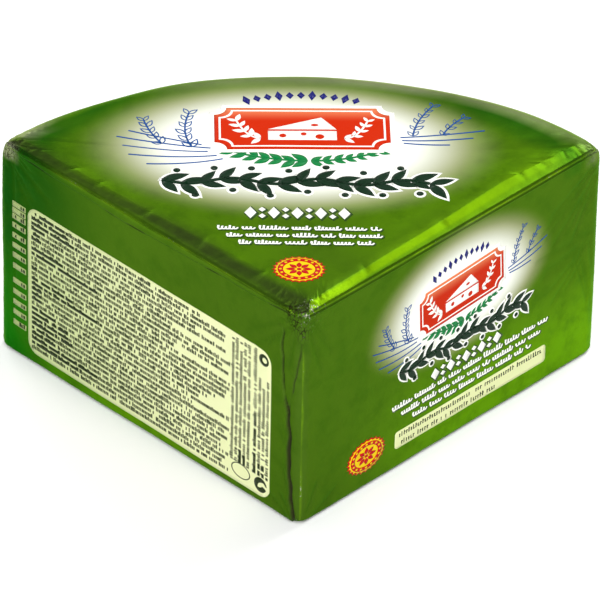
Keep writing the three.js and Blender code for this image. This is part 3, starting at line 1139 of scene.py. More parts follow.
whole = add(printing, "GeometryNodeRealizeInstances", {0: closed.outputs[0]})
inked = add(printing, "GeometryNodeSetMaterial", {"Geometry": whole.outputs[0], "Material": given["Ink"]})
printing.links.new(inked.outputs[0], result["Geometry"])
print(len(printing.nodes), "nodes in the printing tree")

# %% [markdown]
# ## Printing a shape
# Each drawn shape is copied, turned and sized for its place, laid in front of the face and run through
# the tree. Inks that lie over one another are a layer apart, so none shows through the next. How far up
# the paper a point lay is kept, for the painted highlight that pales the plaque's red upwards.

# %% Printing a shape
layer_step = 0.055 * MM
film_lift, film_sink = 0.07 * MM, 0.12 * MM
paper_ahead = 4.0
ink_pieces = []


def printed(name, flat, finish, layer, face, centre=(0.0, 0.0), degrees=0.0, scale=1.0):
    """Prints a flat drawn shape with its middle at a place on a face, as one more layer of ink."""
    mesh = flat.data.copy()
    spots = np.empty(len(mesh.vertices) * 3)
    mesh.vertices.foreach_get("co", spots)
    paper = spots.reshape(-1, 3)[:, :2] / MM
    kept = mesh.attributes.new("paper_up", "FLOAT", "POINT")
    kept.data.foreach_set("value", paper[:, 1].astype(np.float32))
    spots = turned(paper, degrees, scale, centre)
    mesh.vertices.foreach_set("co", (face.at(spots, paper_ahead) * MM).ravel())
    made = bpy.data.objects.new(name, mesh)
    bpy.context.scene.collection.objects.link(made)
    apply_tree(made, printing, foil_skin=foil_skin, ink=finish, outward=[float(v) for v in face.out],
               lift=film_lift + layer * layer_step, sink=film_sink)
    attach(made, "root")
    ink_pieces.append(made)
    return made


# %% [markdown]
# ## Inks
# Each ink lies thin over the same crinkled foil. Its colour is even, since it is printed from one plate,
# but its gloss varies a little where it lies thicker. Only the plaque's red has a painted highlight that
# pales it upwards.

# %% The inks
def ink_finish(name, colour, roughness=0.38, gloss=0.12):
    made, tree, shader, where = new_finish(name, Base_Color=colour, Specular_IOR_Level=gloss)
    uneven = ranged(cloudy(where, 260.0), 0.3, 0.7, roughness - 0.06, roughness + 0.08)
    tree.links.new(uneven, shader["Roughness"])
    crinkled(tree, shader, where, 0.3)
    return made


white_print = ink_finish("white_print", white_ink)
plaque_red = ink(194, 40, 4)
red_print = ink_finish("red_print", plaque_red, gloss=0.03)
tree = red_print.node_tree
up_paper = add(tree, "ShaderNodeAttribute", attribute_name="paper_up").outputs["Fac"]
# Painted highlight: the red pales towards the top of the plaque
red_with_highlight = mixed(ranged(up_paper, 4.0, 14.0), plaque_red, ink(226, 132, 88))
tree.links.new(red_with_highlight, tree.nodes["Principled BSDF"].inputs["Base Color"])
dark_print = ink_finish("dark_green_print", ink(0, 38, 14))
garland_print = ink_finish("garland_print", ink(0, 122, 58))
blue_print = ink_finish("blue_print", ink(20, 76, 146))
navy_print = ink_finish("navy_print", ink(14, 20, 108))
yellow_print = ink_finish("yellow_print", ink(232, 198, 14), gloss=0.05)
crimson_print = ink_finish("crimson_print", ink(188, 20, 24), gloss=0.05)
shade_print = ink_finish("shade_print", ink(38, 70, 14))
print(len(bpy.data.materials), "finishes")

# %% [markdown]
# ## Leaves along a stem
# The print is trimmed with foliage: a garland under the plaque, sprigs at its sides and a vine in the
# title's place. Each is a stem with pairs of leaves that get smaller towards the tip. A tree that walks
# along any drawn stem makes them all, so a stem can be redrawn without placing its leaves again.

# %% The foliage tree
foliage, given, result = new_group("leaves_on_stem", {
    "Geometry": (SHAPE, None), "Leaf": (THING, None), "Paper": (FINISH, None),
    "Spacing": (NUMBER, 0.005), "Splay": (NUMBER, 0.8), "Splay Spread": (NUMBER, 0.15),
    "Tip Size": (NUMBER, 0.6), "Size Spread": (NUMBER, 0.12), "Stem Width": (NUMBER, 0.0008),
    "Seed": (WHOLE, 1),
}, {"Geometry": (SHAPE, None)}, "GeometryNodeTree")
stem = add(foliage, "GeometryNodeMeshToCurve", {0: given["Geometry"]}).outputs[0]
spots = add(foliage, "GeometryNodeCurveToPoints", {"Curve": stem, "Length": given["Spacing"]}, mode="LENGTH")
tangent = add(foliage, "ShaderNodeSeparateXYZ", {0: spots.outputs["Tangent"]}).outputs
heading = calc("ARCTAN2", tangent[1], tangent[0])
number = add(foliage, "GeometryNodeInputIndex").outputs[0]
count = add(foliage, "GeometryNodeAttributeDomainSize", {0: spots.outputs["Points"]},
            component="POINTCLOUD").outputs[0]
how_far = divided(number, count)
leaf_shape = add(foliage, "GeometryNodeObjectInfo", {"Object": given["Leaf"]}).outputs["Geometry"]
joined = add(foliage, "GeometryNodeJoinGeometry")


def random_number(low_value, high_value, seed, identity=None):
    sockets = {2: low_value, 3: high_value, "Seed": seed}
    if identity is not None:
        sockets["ID"] = identity
    return add(seed.id_data, "FunctionNodeRandomValue", sockets, data_type="FLOAT").outputs[1]


for side, shift in ((1.0, 0), (-1.0, 50)):
    seed = plus(given["Seed"], float(shift))
    spread = times(random_number(-1.0, 1.0, seed), given["Splay Spread"])
    turn = calc("MULTIPLY_ADD", plus(given["Splay"], spread), side, heading)
    euler = add(foliage, "ShaderNodeCombineXYZ", {2: turn}).outputs[0]
    turn = add(foliage, "FunctionNodeEulerToRotation", {0: euler}).outputs[0]
    size = random_number(-1.0, 1.0, plus(seed, 9.0))
    size = times(size, given["Size Spread"])
    taper = times(how_far, minus(given["Tip Size"], 1.0))
    size = plus(plus(size, taper), 1.0)
    leaves = add(foliage, "GeometryNodeInstanceOnPoints", {
        "Points": spots.outputs["Points"], "Instance": leaf_shape, "Rotation": turn, "Scale": size,
    })
    foliage.links.new(leaves.outputs[0], joined.inputs[0])
stem_sides = [add(foliage, "ShaderNodeCombineXYZ", {0: times(given["Stem Width"], side)})
              for side in (-0.5, 0.5)]
stem_profile = add(foliage, "GeometryNodeCurvePrimitiveLine", {
    "Start": stem_sides[0].outputs[0], "End": stem_sides[1].outputs[0],
})
strip = add(foliage, "GeometryNodeCurveToMesh", {0: stem, 1: stem_profile.outputs[0]}).outputs[0]
foliage.links.new(strip, joined.inputs[0])
whole = add(foliage, "GeometryNodeRealizeInstances", {0: joined.outputs[0]})
named = add(foliage, "GeometryNodeSetMaterial", {"Geometry": whole.outputs[0], "Material": given["Paper"]})
foliage.links.new(named.outputs[0], result["Geometry"])
print(len(foliage.nodes), "nodes in the foliage tree")

# %% [markdown]
# ## Drawing a spray of leaves
# A spray is drawn by its stems alone, as loose edges, and the tree fills in the leaves. Leaves that come
# out facing down are turned over, so that the whole spray faces off the paper.

# %% Drawing a spray
def spray(name, paths, leaf_object, **sizes):
    """Foliage along these drawn stems, flat on the paper, facing up."""
    points = np.concatenate(paths)
    edges, start = [], 0
    for path in paths:
        edges += [(start + i, start + i + 1) for i in range(len(path) - 1)]
        start += len(path)
    made = piece_from(f"drawn_{name}", np.column_stack([points, np.zeros(len(points))]), edges=edges)
    apply_tree(made, foliage, leaf=leaf_object, paper=white_print, **sizes)
    mesh = made.data
    facing = np.empty(len(mesh.polygons) * 3)
    mesh.polygons.foreach_get("normal", facing)
    down = np.flatnonzero(facing.reshape(-1, 3)[:, 2] < 0)
    for k in down:
        mesh.polygons[int(k)].flip()
    drawings.append(made)
    return made


# %% [markdown]
# ## The emblem
# In the middle of the white oval sits the emblem: a red plaque with scooped corners, a white edge and a
# thin inner line, and on it a piece of cheese between two twigs. Under it lies a green garland, over
# it an arc of small blue lozenges, and at its sides stand blue sprigs over long blue blades of grass.

# %% Draw the plaque
plaque_wide, plaque_tall, plaque_scoop = 59.0, 25.0, 4.2


def curve(start, control, end, steps=14):
    t = np.linspace(0, 1, steps)[:, None]
    start, control, end = (np.array(p, float) for p in (start, control, end))
    return (1 - t) ** 2 * start + 2 * t * (1 - t) * control + t**2 * end


def piece_of_cheese():
    """A wedge of cheese from the side and above, as closed shapes and its holes."""
    top = np.array([(-11.5, -0.6), (6.5, 6.6), (11.5, -0.6)])
    front = np.array([(-11.5, -1.6), (11.5, -1.6), (11.5, -7.0), (-11.5, -7.0)])
    holes = [disc(-6.6, -4.4, 1.2, 16), disc(0.4, -3.4, 1.0, 16), disc(5.8, -5.0, 1.5, 18)]
    return [top, front], [*holes, disc(4.2, 2.0, 1.3, 16, 0.6)]


plaque_edge = drawn("plaque_edge", [ticket(plaque_wide + 3.4, plaque_tall + 3.4, plaque_scoop)])
plaque_ground = drawn("plaque_ground", [ticket(plaque_wide, plaque_tall, plaque_scoop)])
inset = ticket(plaque_wide - 3.0, plaque_tall - 3.0, plaque_scoop)
inset_hole = ticket(plaque_wide - 4.4, plaque_tall - 4.4, plaque_scoop)
plaque_line = drawn("plaque_line", [inset], [inset_hole])
cheese, cheese_holes = piece_of_cheese()
cheese_picture = drawn("plaque_cheese", cheese, cheese_holes)
twig_leaf = drawn("twig_leaf", [leaf(4.4, 1.9)])
twig_paths = [curve((side * 14, -6), (side * 18.5, -6), (side * 22, 4.5)) for side in (-1, 1)]
twigs = spray("plaque_twigs", twig_paths, twig_leaf, spacing=0.0032, splay=0.75, stem_width=0.0007,
              tip_size=0.7, seed=3)
print("the plaque is", plaque_wide, "by", plaque_tall, "mm")

# %% [markdown]
# ## Round the plaque
# The garland has two stems that part in the middle. The lozenges stand on an arc, each third one longer.
# The sprigs have leaves drawn as outlines, and the blades are plain strokes that fan out from the plaque.

# %% Draw what is round the plaque
garland_leaf = drawn("garland_leaf", [leaf(6.2, 2.7)])
garland = spray("garland", [
    curve((1.5, -19.0), (-12, -19.2), (-23, -13.8)), curve((2.5, -19.0), (14, -19.2), (25, -13.8)),
], garland_leaf, spacing=0.0038, splay=0.62, stem_width=0.001, tip_size=0.6, seed=5)


def lozenge(half_width, half_height):
    return np.array([(half_width, 0), (0, half_height), (-half_width, 0), (0, -half_height)])


arc_radius, arc_drop = 54, 33.5
lozenges = []
for k, t in enumerate(np.radians(np.linspace(110, 70, 11))):
    lean = np.array([[math.sin(t), -math.cos(t)], [math.cos(t), math.sin(t)]])
    middle = (arc_radius * math.cos(t), arc_radius * math.sin(t) - arc_drop)
    lozenges.append(lozenge(1.35, 2.1 if k % 3 else 3.0) @ lean + middle)
lozenge_arc = drawn("lozenge_arc", lozenges)

outlined_leaf = drawn("outlined_leaf", [leaf(4.8, 2.3)], [leaf(3.6, 1.35) + [0.5, 0]])
sprig_paths = [
    curve((-37, -11), (-41, -2), (-38, 9)), curve((-47, -9), (-51, -3), (-53, 5)),
    curve((37, -4), (38, 5), (44, 14)), curve((47, -3.5), (49, 2), (54, 7)),
]
blade_paths = [
    curve((-31, -11.5), (-45, -10), (-62, -4.5)), curve((-32, -13.5), (-44, -14), (-60, -10)),
    curve((-29, -16), (-42, -18), (-58, -15.5)), curve((-27, -18), (-38, -21.5), (-52, -21)),
    curve((-34, -9.5), (-46, -6), (-58, -1)), curve((33, -5), (46, -4), (61, -0.5)),
    curve((33.5, -6.8), (45, -7.4), (57, -5)), curve((34, -8.4), (41, -9.6), (49, -9.2)),
]
blades = drawn("side_blades", [stroke(path, 0.6, 4) for path in blade_paths])
sprigs = spray("side_sprigs", sprig_paths, outlined_leaf, spacing=0.0038, splay=0.6, stem_width=0.0006,
               tip_size=0.55, seed=8)
print(len(sprig_paths), "sprigs and", len(blade_paths), "blades")

# %% [markdown]
# ## The vine in the title's place
# A dark green vine with a broad white edge runs across the face, with full leaves in pairs and round
# berries. The white edge is the same vine with a broader leaf and stem, printed first.

# %% Draw the vine
vine_swing, vine_bend, berry_away = 1.6, 4.6, 7.0
vine_x = np.linspace(-45, 44, 120)
vine_path = np.stack([vine_x, vine_swing * np.sin(vine_x / vine_bend)], 1)
vine_leaf = drawn("vine_leaf", [leaf(9.4, 3.6)], grid=1.6)
vine_leaf_edge = drawn("vine_leaf_edge", [leaf(9.4, 3.6, 0.85)], grid=1.6)
vine_sizes = {"spacing": 0.0062, "splay": 0.6, "splay_spread": 0.12, "tip_size": 1.0, "size_spread": 0.1,
              "seed": 12}
vine = spray("title_vine", [vine_path], vine_leaf, stem_width=0.0017, **vine_sizes)
vine_edge = spray("title_vine_edge", [vine_path], vine_leaf_edge, stem_width=0.0036, **vine_sizes)
berry_spots = [(x, vine_swing * math.sin(x / vine_bend) + side * berry_away) for x, side in
               zip(np.arange(-40, 44, 6.2), [1, -1] * 8)]
berries = drawn("vine_berries", [disc(x, y, 1.25, 14) for x, y in berry_spots])
berry_edges = drawn("vine_berry_edges", [disc(x, y, 2.1, 16) for x, y in berry_spots])
print(len(berry_spots), "berries along the vine")

# %% [markdown]
# ## White lozenges and lines of small print
# Under the vine stands a row of white lozenges, and under that three lines of small white print, which
# here are scribbles the length of words. Both have a dark shade behind them, a little to the right.

# %% Draw the small print
def scribble(length, tall, seed):
    """A handwritten line the length of a word that spells nothing."""
    draws = np.random.default_rng(seed)
    turns = max(int(length / 1.15), 1)
    x = np.linspace(0, length, turns * 6 + 1)
    swing = tall / 2 * (0.75 + 0.55 * (draws.random(turns + 2) > 0.72))
    swing = np.interp(x, np.linspace(0, length, len(swing)), swing)
    phase = x / length * turns * 2 * math.pi
    across = x + 0.22 * tall * np.sin(phase + 1.3)
    return np.stack([across, swing * np.sin(phase) + (swing - tall / 2) * 0.6], 1)


def scribbled_line(length, tall, weight, seed):
    """Words one after another over a length, about its middle."""
    draws = np.random.default_rng(seed)
    loops, x = [], -length / 2
    while x < length / 2 - 2.0:
        word = min(draws.uniform(3.0, 9.5), length / 2 - x)
        loops.append(stroke(scribble(word, tall, int(draws.integers(1000))) + [x, 0], weight, 3))
        x += word + 1.7
    return loops


def lozenge_row(length, tall, count):
    """Slim upright lozenges, each second one split in two."""
    loops = []
    for k, x in enumerate(np.linspace(-length / 2 + 2, length / 2 - 2, count)):
        if k % 2 == 0:
            loops.append(lozenge(2.0, tall / 2) + [x, 0])
        else:
            loops += [lozenge(1.2, tall / 5) + [x, side * tall / 3.6] for side in (-1, 1)]
    return loops


def row_of_lozenges(name, length, tall, count):
    row = lozenge_row(length, tall, count)
    return drawn(name, row), drawn(name + "_shade", [grown(loop, 0.45) + [0.35, -0.35] for loop in row])


def small_print(name, lines, tall, weight):
    """Lines of scribbles at these places, in white ink and in the shade behind them."""
    words = [s + [x, y] for length, x, y, seed in lines for s in scribbled_line(length, tall, weight, seed)]
    shade = [s + [x + 0.3, y - 0.3] for length, x, y, seed in lines
             for s in scribbled_line(length, tall, weight + 0.55, seed)]
    return drawn(name, words, grid=4), drawn(name + "_shade", shade, grid=4)


# Each line of small print has its length, its middle and its seed
top_row = row_of_lozenges("top_row", 35, 6.6, 9)
right_row = row_of_lozenges("right_row", 34, 4.6, 9)
top_words = small_print("top_words", ((56, 0, -25.2, 1), (52, 1, -29.3, 2), (44, 1, -33.4, 3)), 1.9, 0.62)
right_lines = ((75, 81, 26.2, 4), (67, 81.5, 22.6, 5), (57, 82, 19.0, 6))
right_words = small_print("right_words", right_lines, 1.75, 0.6)
print(len(top_words[0].data.polygons), "triangles in the top's small print")

# %% [markdown]
# ## The rosette
# Low on both faces sits a small rosette: a scalloped red edge, a yellow ground, a red ring with yellow
# dots in it, and a flower of eight petals in the middle.

# %% Draw the rosette
def scalloped(size, bumps, depth, steps=8):
    turn = np.arange(bumps * steps) * 2 * math.pi / (bumps * steps)
    edge = size - depth * np.abs(np.sin(turn * bumps / 2)) ** 0.6
    return np.stack([edge * np.cos(turn), edge * np.sin(turn)], 1)


petals = [turned(leaf(3.0, 1.6) + [1.0, 0], 45 * k) for k in range(8)]
rosette_edge = drawn("rosette_edge", [scalloped(8.0, 24, 0.7)])
rosette_ground = drawn("rosette_ground", [scalloped(7.3, 24, 0.6)])
rosette_ring = drawn("rosette_ring", [disc(0, 0, 6.3, 48)], [disc(0, 0, 4.7, 40)])
rosette_flower = drawn("rosette_flower", [*petals, disc(0, 0, 0.7, 16)])
rosette_dots = drawn("rosette_dots", [disc(5.5 * math.cos(t), 5.5 * math.sin(t), 0.45, 10)
                                      for t in np.arange(16) * math.pi / 8])

# %% [markdown]
# ## Printing the top and the right face
# Both faces carry the same print, smaller and a little leaning on the right one. It is listed once, as
# groups of shapes with their inks and layers, and each group has its own place, lean and size on each
# face.

# %% Print the top and the right face
emblem = (
    ("sprigs", sprigs, blue_print, 0), ("blades", blades, blue_print, 0),
    ("garland", garland, garland_print, 0), ("lozenges", lozenge_arc, navy_print, 0),
    ("plaque_edge", plaque_edge, white_print, 1),
    ("plaque", plaque_ground, red_print, 2), ("plaque_line", plaque_line, white_print, 3),
    ("plaque_cheese", cheese_picture, white_print, 3), ("plaque_twigs", twigs, white_print, 3),
)
title = (
    ("vine_edge", vine_edge, white_print, 1), ("berry_edges", berry_edges, white_print, 1),
    ("vine", vine, dark_print, 2), ("berries", berries, dark_print, 2),
)
rosette = (
    ("rosette_edge", rosette_edge, crimson_print, 0), ("rosette", rosette_ground, yellow_print, 1),
    ("rosette_ring", rosette_ring, crimson_print, 2), ("rosette_flower", rosette_flower, crimson_print, 2),
    ("rosette_dots", rosette_dots, yellow_print, 3),
)


def row_shapes(row):
    return (("row_shade", row[1], shade_print, 0), ("row", row[0], white_print, 1))


def word_shapes(words):
    return (("small_print_shade", words[1], shade_print, 0), ("small_print", words[0], white_print, 1))


for side, face, groups in (
    ("top", top_face, (
        (emblem, (0.3, 33), 0.8, 1.0), (title, (-1.5, 1.6), 0, 1.0),
        (row_shapes(top_row), (-1.6, -16.6), 0, 1.0), (word_shapes(top_words), (0, 0), 0, 1.0),
        (rosette, (-1.2, -48.3), 0, (1.12, 0.92)),
    )),
    ("right", right_face, (
        (emblem, (75.6, 59.0), 3.5, 0.68), (title, (76.2, 39.6), 0, 0.66),
        (row_shapes(right_row), (79.0, 30.6), 0, 1.0), (word_shapes(right_words), (0, 0), 0, 1.0),
        (rosette, (31.6, 13.4), 0, (1.17, 0.85)),
    )),
):
    for shapes, middle, lean, size in groups:
        for label, flat, finish, layer in shapes:
            printed(f"{side}_{label}", flat, finish, layer, face, middle, lean, size)
print(len(ink_pieces), "pieces of print on the top and the right face")

# %% [markdown]
# ## Rows of small marks
# The label carries dozens of rows of tiny print, which can't be read at this distance. It is made of
# marks the size of letters that spell nothing: upright ticks, some taller, some joined by a dash, with
# gaps between words and ragged row ends. A tree sets them from a few sizes, like type.

# %% The tree for rows of marks
typesetting, given, result = new_group("rows_of_marks", {
    "Geometry": (SHAPE, None), "Mark": (THING, None), "Paper": (FINISH, None),
    "Letters": (WHOLE, 60), "Rows": (WHOLE, 10),
    "Letter Pitch": (NUMBER, 0.001), "Row Pitch": (NUMBER, 0.002),
    "Mark Height": (NUMBER, 0.0013), "Mark Width": (NUMBER, 0.0004), "Ragged": (NUMBER, 0.3),
    "Bold Letters": (NUMBER, 10.0), "Seed": (WHOLE, 1),
}, {"Geometry": (SHAPE, None)}, "GeometryNodeTree")
index = add(typesetting, "GeometryNodeInputIndex").outputs[0]
column = calc("MODULO", index, given["Letters"])
row_number = calc("FLOOR", divided(index, given["Letters"]))
spot = add(typesetting, "ShaderNodeCombineXYZ", {
    0: times(column, given["Letter Pitch"]),
    1: times(times(row_number, given["Row Pitch"]), -1.0),
}).outputs[0]
count = times(given["Letters"], given["Rows"])
places = add(typesetting, "GeometryNodePoints", {"Count": count, "Position": spot}).outputs[0]


def draw(low_value, high_value, seed_step, identity=None):
    """A random number for each mark, or one for each row of marks."""
    return random_number(low_value, high_value, plus(given["Seed"], float(seed_step)), identity)


row_draw = random_number(0.0, 1.0, given["Seed"], row_number)
row_end = times(calc("POWER", row_draw, 3.0), given["Ragged"])
row_end = times(minus(1.0, row_end), given["Letters"])
beyond = calc("GREATER_THAN", column, row_end)
word_gap = calc("LESS_THAN", draw(0.0, 1.0, 7), 0.13)
dropped = calc("MAXIMUM", beyond, word_gap)
places = add(typesetting, "GeometryNodeDeleteGeometry", {0: places, 1: dropped}, domain="POINT").outputs[0]
mark_shape = add(typesetting, "GeometryNodeObjectInfo", {"Object": given["Mark"]}).outputs["Geometry"]
is_tall = calc("LESS_THAN", draw(0.0, 1.0, 3), 0.24)
tall = times(calc("MULTIPLY_ADD", is_tall, 0.26, 0.74), given["Mark Height"])
bold_end = times(draw(-0.9, 1.4, 5, row_number), given["Bold Letters"])
position = add(typesetting, "GeometryNodeInputPosition").outputs[0]
mark_x = add(typesetting, "ShaderNodeSeparateXYZ", {0: position}).outputs[0]
bold = calc("LESS_THAN", divided(mark_x, given["Letter Pitch"]), bold_end)
wide = times(calc("MULTIPLY_ADD", bold, 0.9, 1.0), given["Mark Width"])
wide = times(wide, draw(0.8, 1.3, 4))
ticks = add(typesetting, "GeometryNodeInstanceOnPoints", {
    "Points": places, "Instance": mark_shape,
    "Scale": add(typesetting, "ShaderNodeCombineXYZ", {0: wide, 1: tall, 2: 1.0}).outputs[0],
})
dashed = calc("LESS_THAN", draw(0.0, 1.0, 11), 0.55)
dash_up = calc("GREATER_THAN", draw(0.0, 1.0, 13), 0.4)
dash_at = add(typesetting, "ShaderNodeCombineXYZ", {
    0: 0.0, 1: times(times(dash_up, 0.5), given["Mark Height"]),
}).outputs[0]
dash_points = add(typesetting, "GeometryNodeSetPosition", {"Geometry": places, "Offset": dash_at}).outputs[0]
dashes = add(typesetting, "GeometryNodeInstanceOnPoints", {
    "Points": dash_points, "Selection": dashed, "Instance": mark_shape,
    "Scale": add(typesetting, "ShaderNodeCombineXYZ", {
        0: times(given["Letter Pitch"], 0.72),
        1: times(given["Mark Height"], 0.17), 2: 1.0,
    }).outputs[0],
})
joined = add(typesetting, "GeometryNodeJoinGeometry")
for part in (ticks, dashes):
    typesetting.links.new(part.outputs[0], joined.inputs[0])
whole = add(typesetting, "GeometryNodeRealizeInstances", {0: joined.outputs[0]})
named = add(typesetting, "GeometryNodeSetMaterial", {
    "Geometry": whole.outputs[0], "Material": given["Paper"],
})
typesetting.links.new(named.outputs[0], result["Geometry"])
print(len(typesetting.nodes), "nodes in the tree for rows of marks")

# %% [markdown]
# ## Setting a block of marks
# The tree starts from one square mark a metre wide, so that each mark's size is its scale in metres. A
# block is set from its number of letters and rows, their pitches and the size of a mark.

# %% Setting a block
metre_mark = drawn("mark", [np.array([(0, 0), (1, 0), (1, 1), (0, 1)]) / MM], grid=1e6)


def typeset(name, **sizes):
    made = piece_from(f"drawn_{name}", [(0, 0, 0)])
    apply_tree(made, typesetting, mark=metre_mark, paper=white_print, **sizes)
    drawings.append(made)
    return made


# %% [markdown]
# ## The label
# The left face carries a pale label with rounded corners. Most of it is rows of small print; its right
# end has a block, a bold row and a shorter block set sideways, an oval stamp and two round marks. The
# label's pale green ink has painted shade that darkens it towards its far end.

# %% The label's inks
label_print, tree, shader, where = new_finish("label_print", Roughness=0.42, Specular_IOR_Level=0.2)
x, y, z = add(tree, "ShaderNodeSeparateXYZ", {0: where}).outputs
# Painted shade: the label darkens towards its far end
far_end_shade = ranged(calc("MULTIPLY_ADD", cloudy(where, 45.0), 0.02, x), -0.018, -0.088)
tree.links.new(mixed(far_end_shade, ink(226, 231, 177), ink(182, 196, 134)), shader["Base Color"])
crinkled(tree, shader, where, 0.3)
type_print = ink_finish("type_print", ink(34, 48, 14))
tab_print = ink_finish("tab_print", ink(150, 166, 104))
strip_print = ink_finish("strip_print", ink(224, 229, 172))
print(len(bpy.data.materials), "finishes with the label's")

# %% [markdown]
# ## Drawing and printing the label
# Each block of marks is set with its own sizes, the bold row with none of its end ragged. The round marks
# and the stamp are drawn as shapes with holes.

# %% Print the label
label_middle = (-71.5, 34.25)
label_shape = drawn("label_shape", [rounded(115.4, 59.9, 4.5)])
label_rows = typeset("label_rows", letters=126, rows=28, letter_pitch=0.00075, row_pitch=0.00205,
                     mark_height=0.00162, mark_width=0.00050, ragged=0.4, bold_letters=30.0, seed=20)
side_rows = typeset("side_rows", letters=55, rows=5, letter_pitch=0.00092, row_pitch=0.0019,
                    mark_height=0.0015, mark_width=0.00052, ragged=0.25, bold_letters=8.0, seed=31)
end_rows = typeset("end_rows", letters=46, rows=3, letter_pitch=0.00092, row_pitch=0.0019,
                   mark_height=0.0015, mark_width=0.0005, ragged=0.3, bold_letters=4.0, seed=32)
end_row = typeset("end_row", letters=56, rows=1, letter_pitch=0.00092, row_pitch=0.0019,
                  mark_height=0.0016, mark_width=0.00042, ragged=0.0, bold_letters=24.0, seed=33)
label_dot = drawn("label_dot", [disc(0, 0, 2.3), disc(0.9, 0.2, 0.7)], [disc(0.3, 0, 1.1, 20)])
label_ring = drawn("label_ring", [disc(0, 0, 2.9)], [turned(leaf(3.6, 1.7) - [1.8, 0], 45)])
stamp_tick = np.array([(0, 0), (0.5, 0), (0.5, 1.0), (0, 1.0)])
stamp_rows = ((0.4, (-1.4, -0.4, 0.7)), (-1.3, (-1.8, -0.8, 0.3, 1.2)))
stamp_ticks = [stamp_tick + [x, y] for y, row in stamp_rows for x in row]
oval_stamp = drawn("oval_stamp", [disc(0, 0, 4.4, 40, 0.68), *stamp_ticks], [disc(0, 0, 4.0, 40, 0.66)])
for name, flat, finish, layer, face, spot in (
    ("label", label_shape, label_print, 0, left_face, label_middle),
    ("label_rows", label_rows, type_print, 1, left_face, (-127.4, 61.6)),
    ("label_side_rows", side_rows, type_print, 1, left_sideways, (12.5, 31.0)),
    ("label_end_row", end_row, type_print, 1, left_sideways, (12.2, 20.4)),
    ("label_end_rows", end_rows, type_print, 1, left_sideways, (12.2, 18.4)),
    ("label_dot", label_dot, type_print, 1, left_face, (-17.2, 60.4)),
    ("label_ring", label_ring, type_print, 1, left_face, (-18.0, 8.9)),
    ("label_stamp", oval_stamp, type_print, 1, left_face, (-27.2, 9.6)),
):
    printed(name, flat, finish, layer, face, spot)
print(len(label_rows.data.polygons), "triangles in the label's rows")

# %% [markdown]
# ## The tabs beside the label
# Beside the label a column of thirteen small pale tabs runs down the foil, each with a few dark marks.
# Tabs with as many marks share one setting of them.

# %% Print the tabs
tab_heights = np.array([63.4, 60.9, 58.4, 54.8, 50.6, 46.5, 42.4, 37.9, 31.8, 27.3, 23.0, 18.9, 14.6])
tab_letters = [2, 2, 5, 5, 5, 2, 2, 2, 2, 2, 2, 2, 3]
tabs = drawn("tabs", [rounded(6.5, 2.15, 0.2, 3) + [0, z] for z in tab_heights])
printed("tabs", tabs, tab_print, 0, left_face, (-133.45, -2.1))
tab_marks = {
    count: typeset(f"tab_marks_{count}", letters=count, rows=1, letter_pitch=0.0010, row_pitch=0.002,
                   mark_height=0.0017, mark_width=0.0007, ragged=0.0, bold_letters=0.0, seed=40 + count)
    for count in sorted(set(tab_letters))
}
for k, (z, count) in enumerate(zip(tab_heights, tab_letters)):
    printed(f"tab_marks_{k + 1}", tab_marks[count], type_print, 1, left_face, (-130.6 - count, z - 2.8))
print(len(tab_heights), "tabs")

# %% [markdown]
# ## The strip on the right face
# A narrow pale strip with rounded corners lies low on the right face, with one long row of marks and one
# shorter row under it.

# %% Print the strip
strip_shape = drawn("strip_shape", [rounded(73.2, 7.0, 1.3)])
printed("strip", strip_shape, strip_print, 0, right_face, (82, 12.1))
for number, letters, row_height in ((1, 62, 12.9), (2, 42, 9.6)):
    row = typeset(f"strip_row_{number}", letters=letters, rows=1, letter_pitch=0.00112, row_pitch=0.003,
                  mark_height=0.0019, mark_width=0.00042, ragged=0.0, bold_letters=0.0, seed=50 + number)
    printed(f"strip_row_{number}", row, type_print, 1, right_face, (47.4, row_height))
print(len(ink_pieces), "pieces of print so far")

# %% [markdown]
# ## Under the pack and behind it
# Out of the picture, the sheet's ends are folded under the base, one over the other, and the rind carries
# a smaller vine over a row of lozenges. They are finished like the rest. A flap is drawn by the base's
# own outline and a few inner points, mirrored, because it is seen from below.

# %% Base folds and the back
base_face = Face((0, 0, 0), (-1, 0, 0), (0, 1, 0))
back_face = Face((0, high[1] + 1, 0), (-1, 0, 0), (0, 0, 1))


def base_flap(inner_points, start, end, name):
    """A flap that follows the base's outline from one column to another and ends in these inner points."""
    edge = outline(flap_inset, flap_inset)[start:end:3] * [-1, 1]
    return drawn(name, [np.concatenate([edge, np.array(inner_points) * [-1, 1]])], grid=2.0)


flap_inset = 4.2
right_ends = len(face_stops)
left_begins = columns - len(point_stops) - right_ends
for layer, (name, inner_points, start, end) in enumerate((
    ("rind", [(-62, 22), (-30, 12), (28, 10), (66, 24)], right_ends + 4, left_begins),
    ("left", [(4, -52), (30, 4), (26, 34), (-30, 46)], left_begins + 8, columns - 8),
    ("right", [(44, 44), (-10, 40), (-22, -12), (-6, -50)], 6, right_ends - 6),
)):
    flap = base_flap(inner_points, start, end, f"{name}_flap")
    printed(f"base_flap_{name}", flap, printed_foil, 0.1 + 0.9 * layer, base_face)

printed("back_vine_edge", vine_edge, white_print, 1, back_face, (0, 44), 0, 0.8)
printed("back_vine", vine, dark_print, 2, back_face, (0, 44), 0, 0.8)
for label, flat, finish, layer in row_shapes(right_row):
    printed(f"back_{label}", flat, finish, layer, back_face, (0, 28))

discard(*drawings)
drawings.clear()
print(len(ink_pieces), "pieces of print,", sum(len(p.data.polygons) for p in ink_pieces), "faces")

# %% [markdown]
# ## The studio
# A pale floor that runs out of the picture, a soft world, and four large soft lights: one high behind
# the right shoulder that runs along the bevel, one in front that fills both faces, one over the top, and
# a weaker one behind on the left.

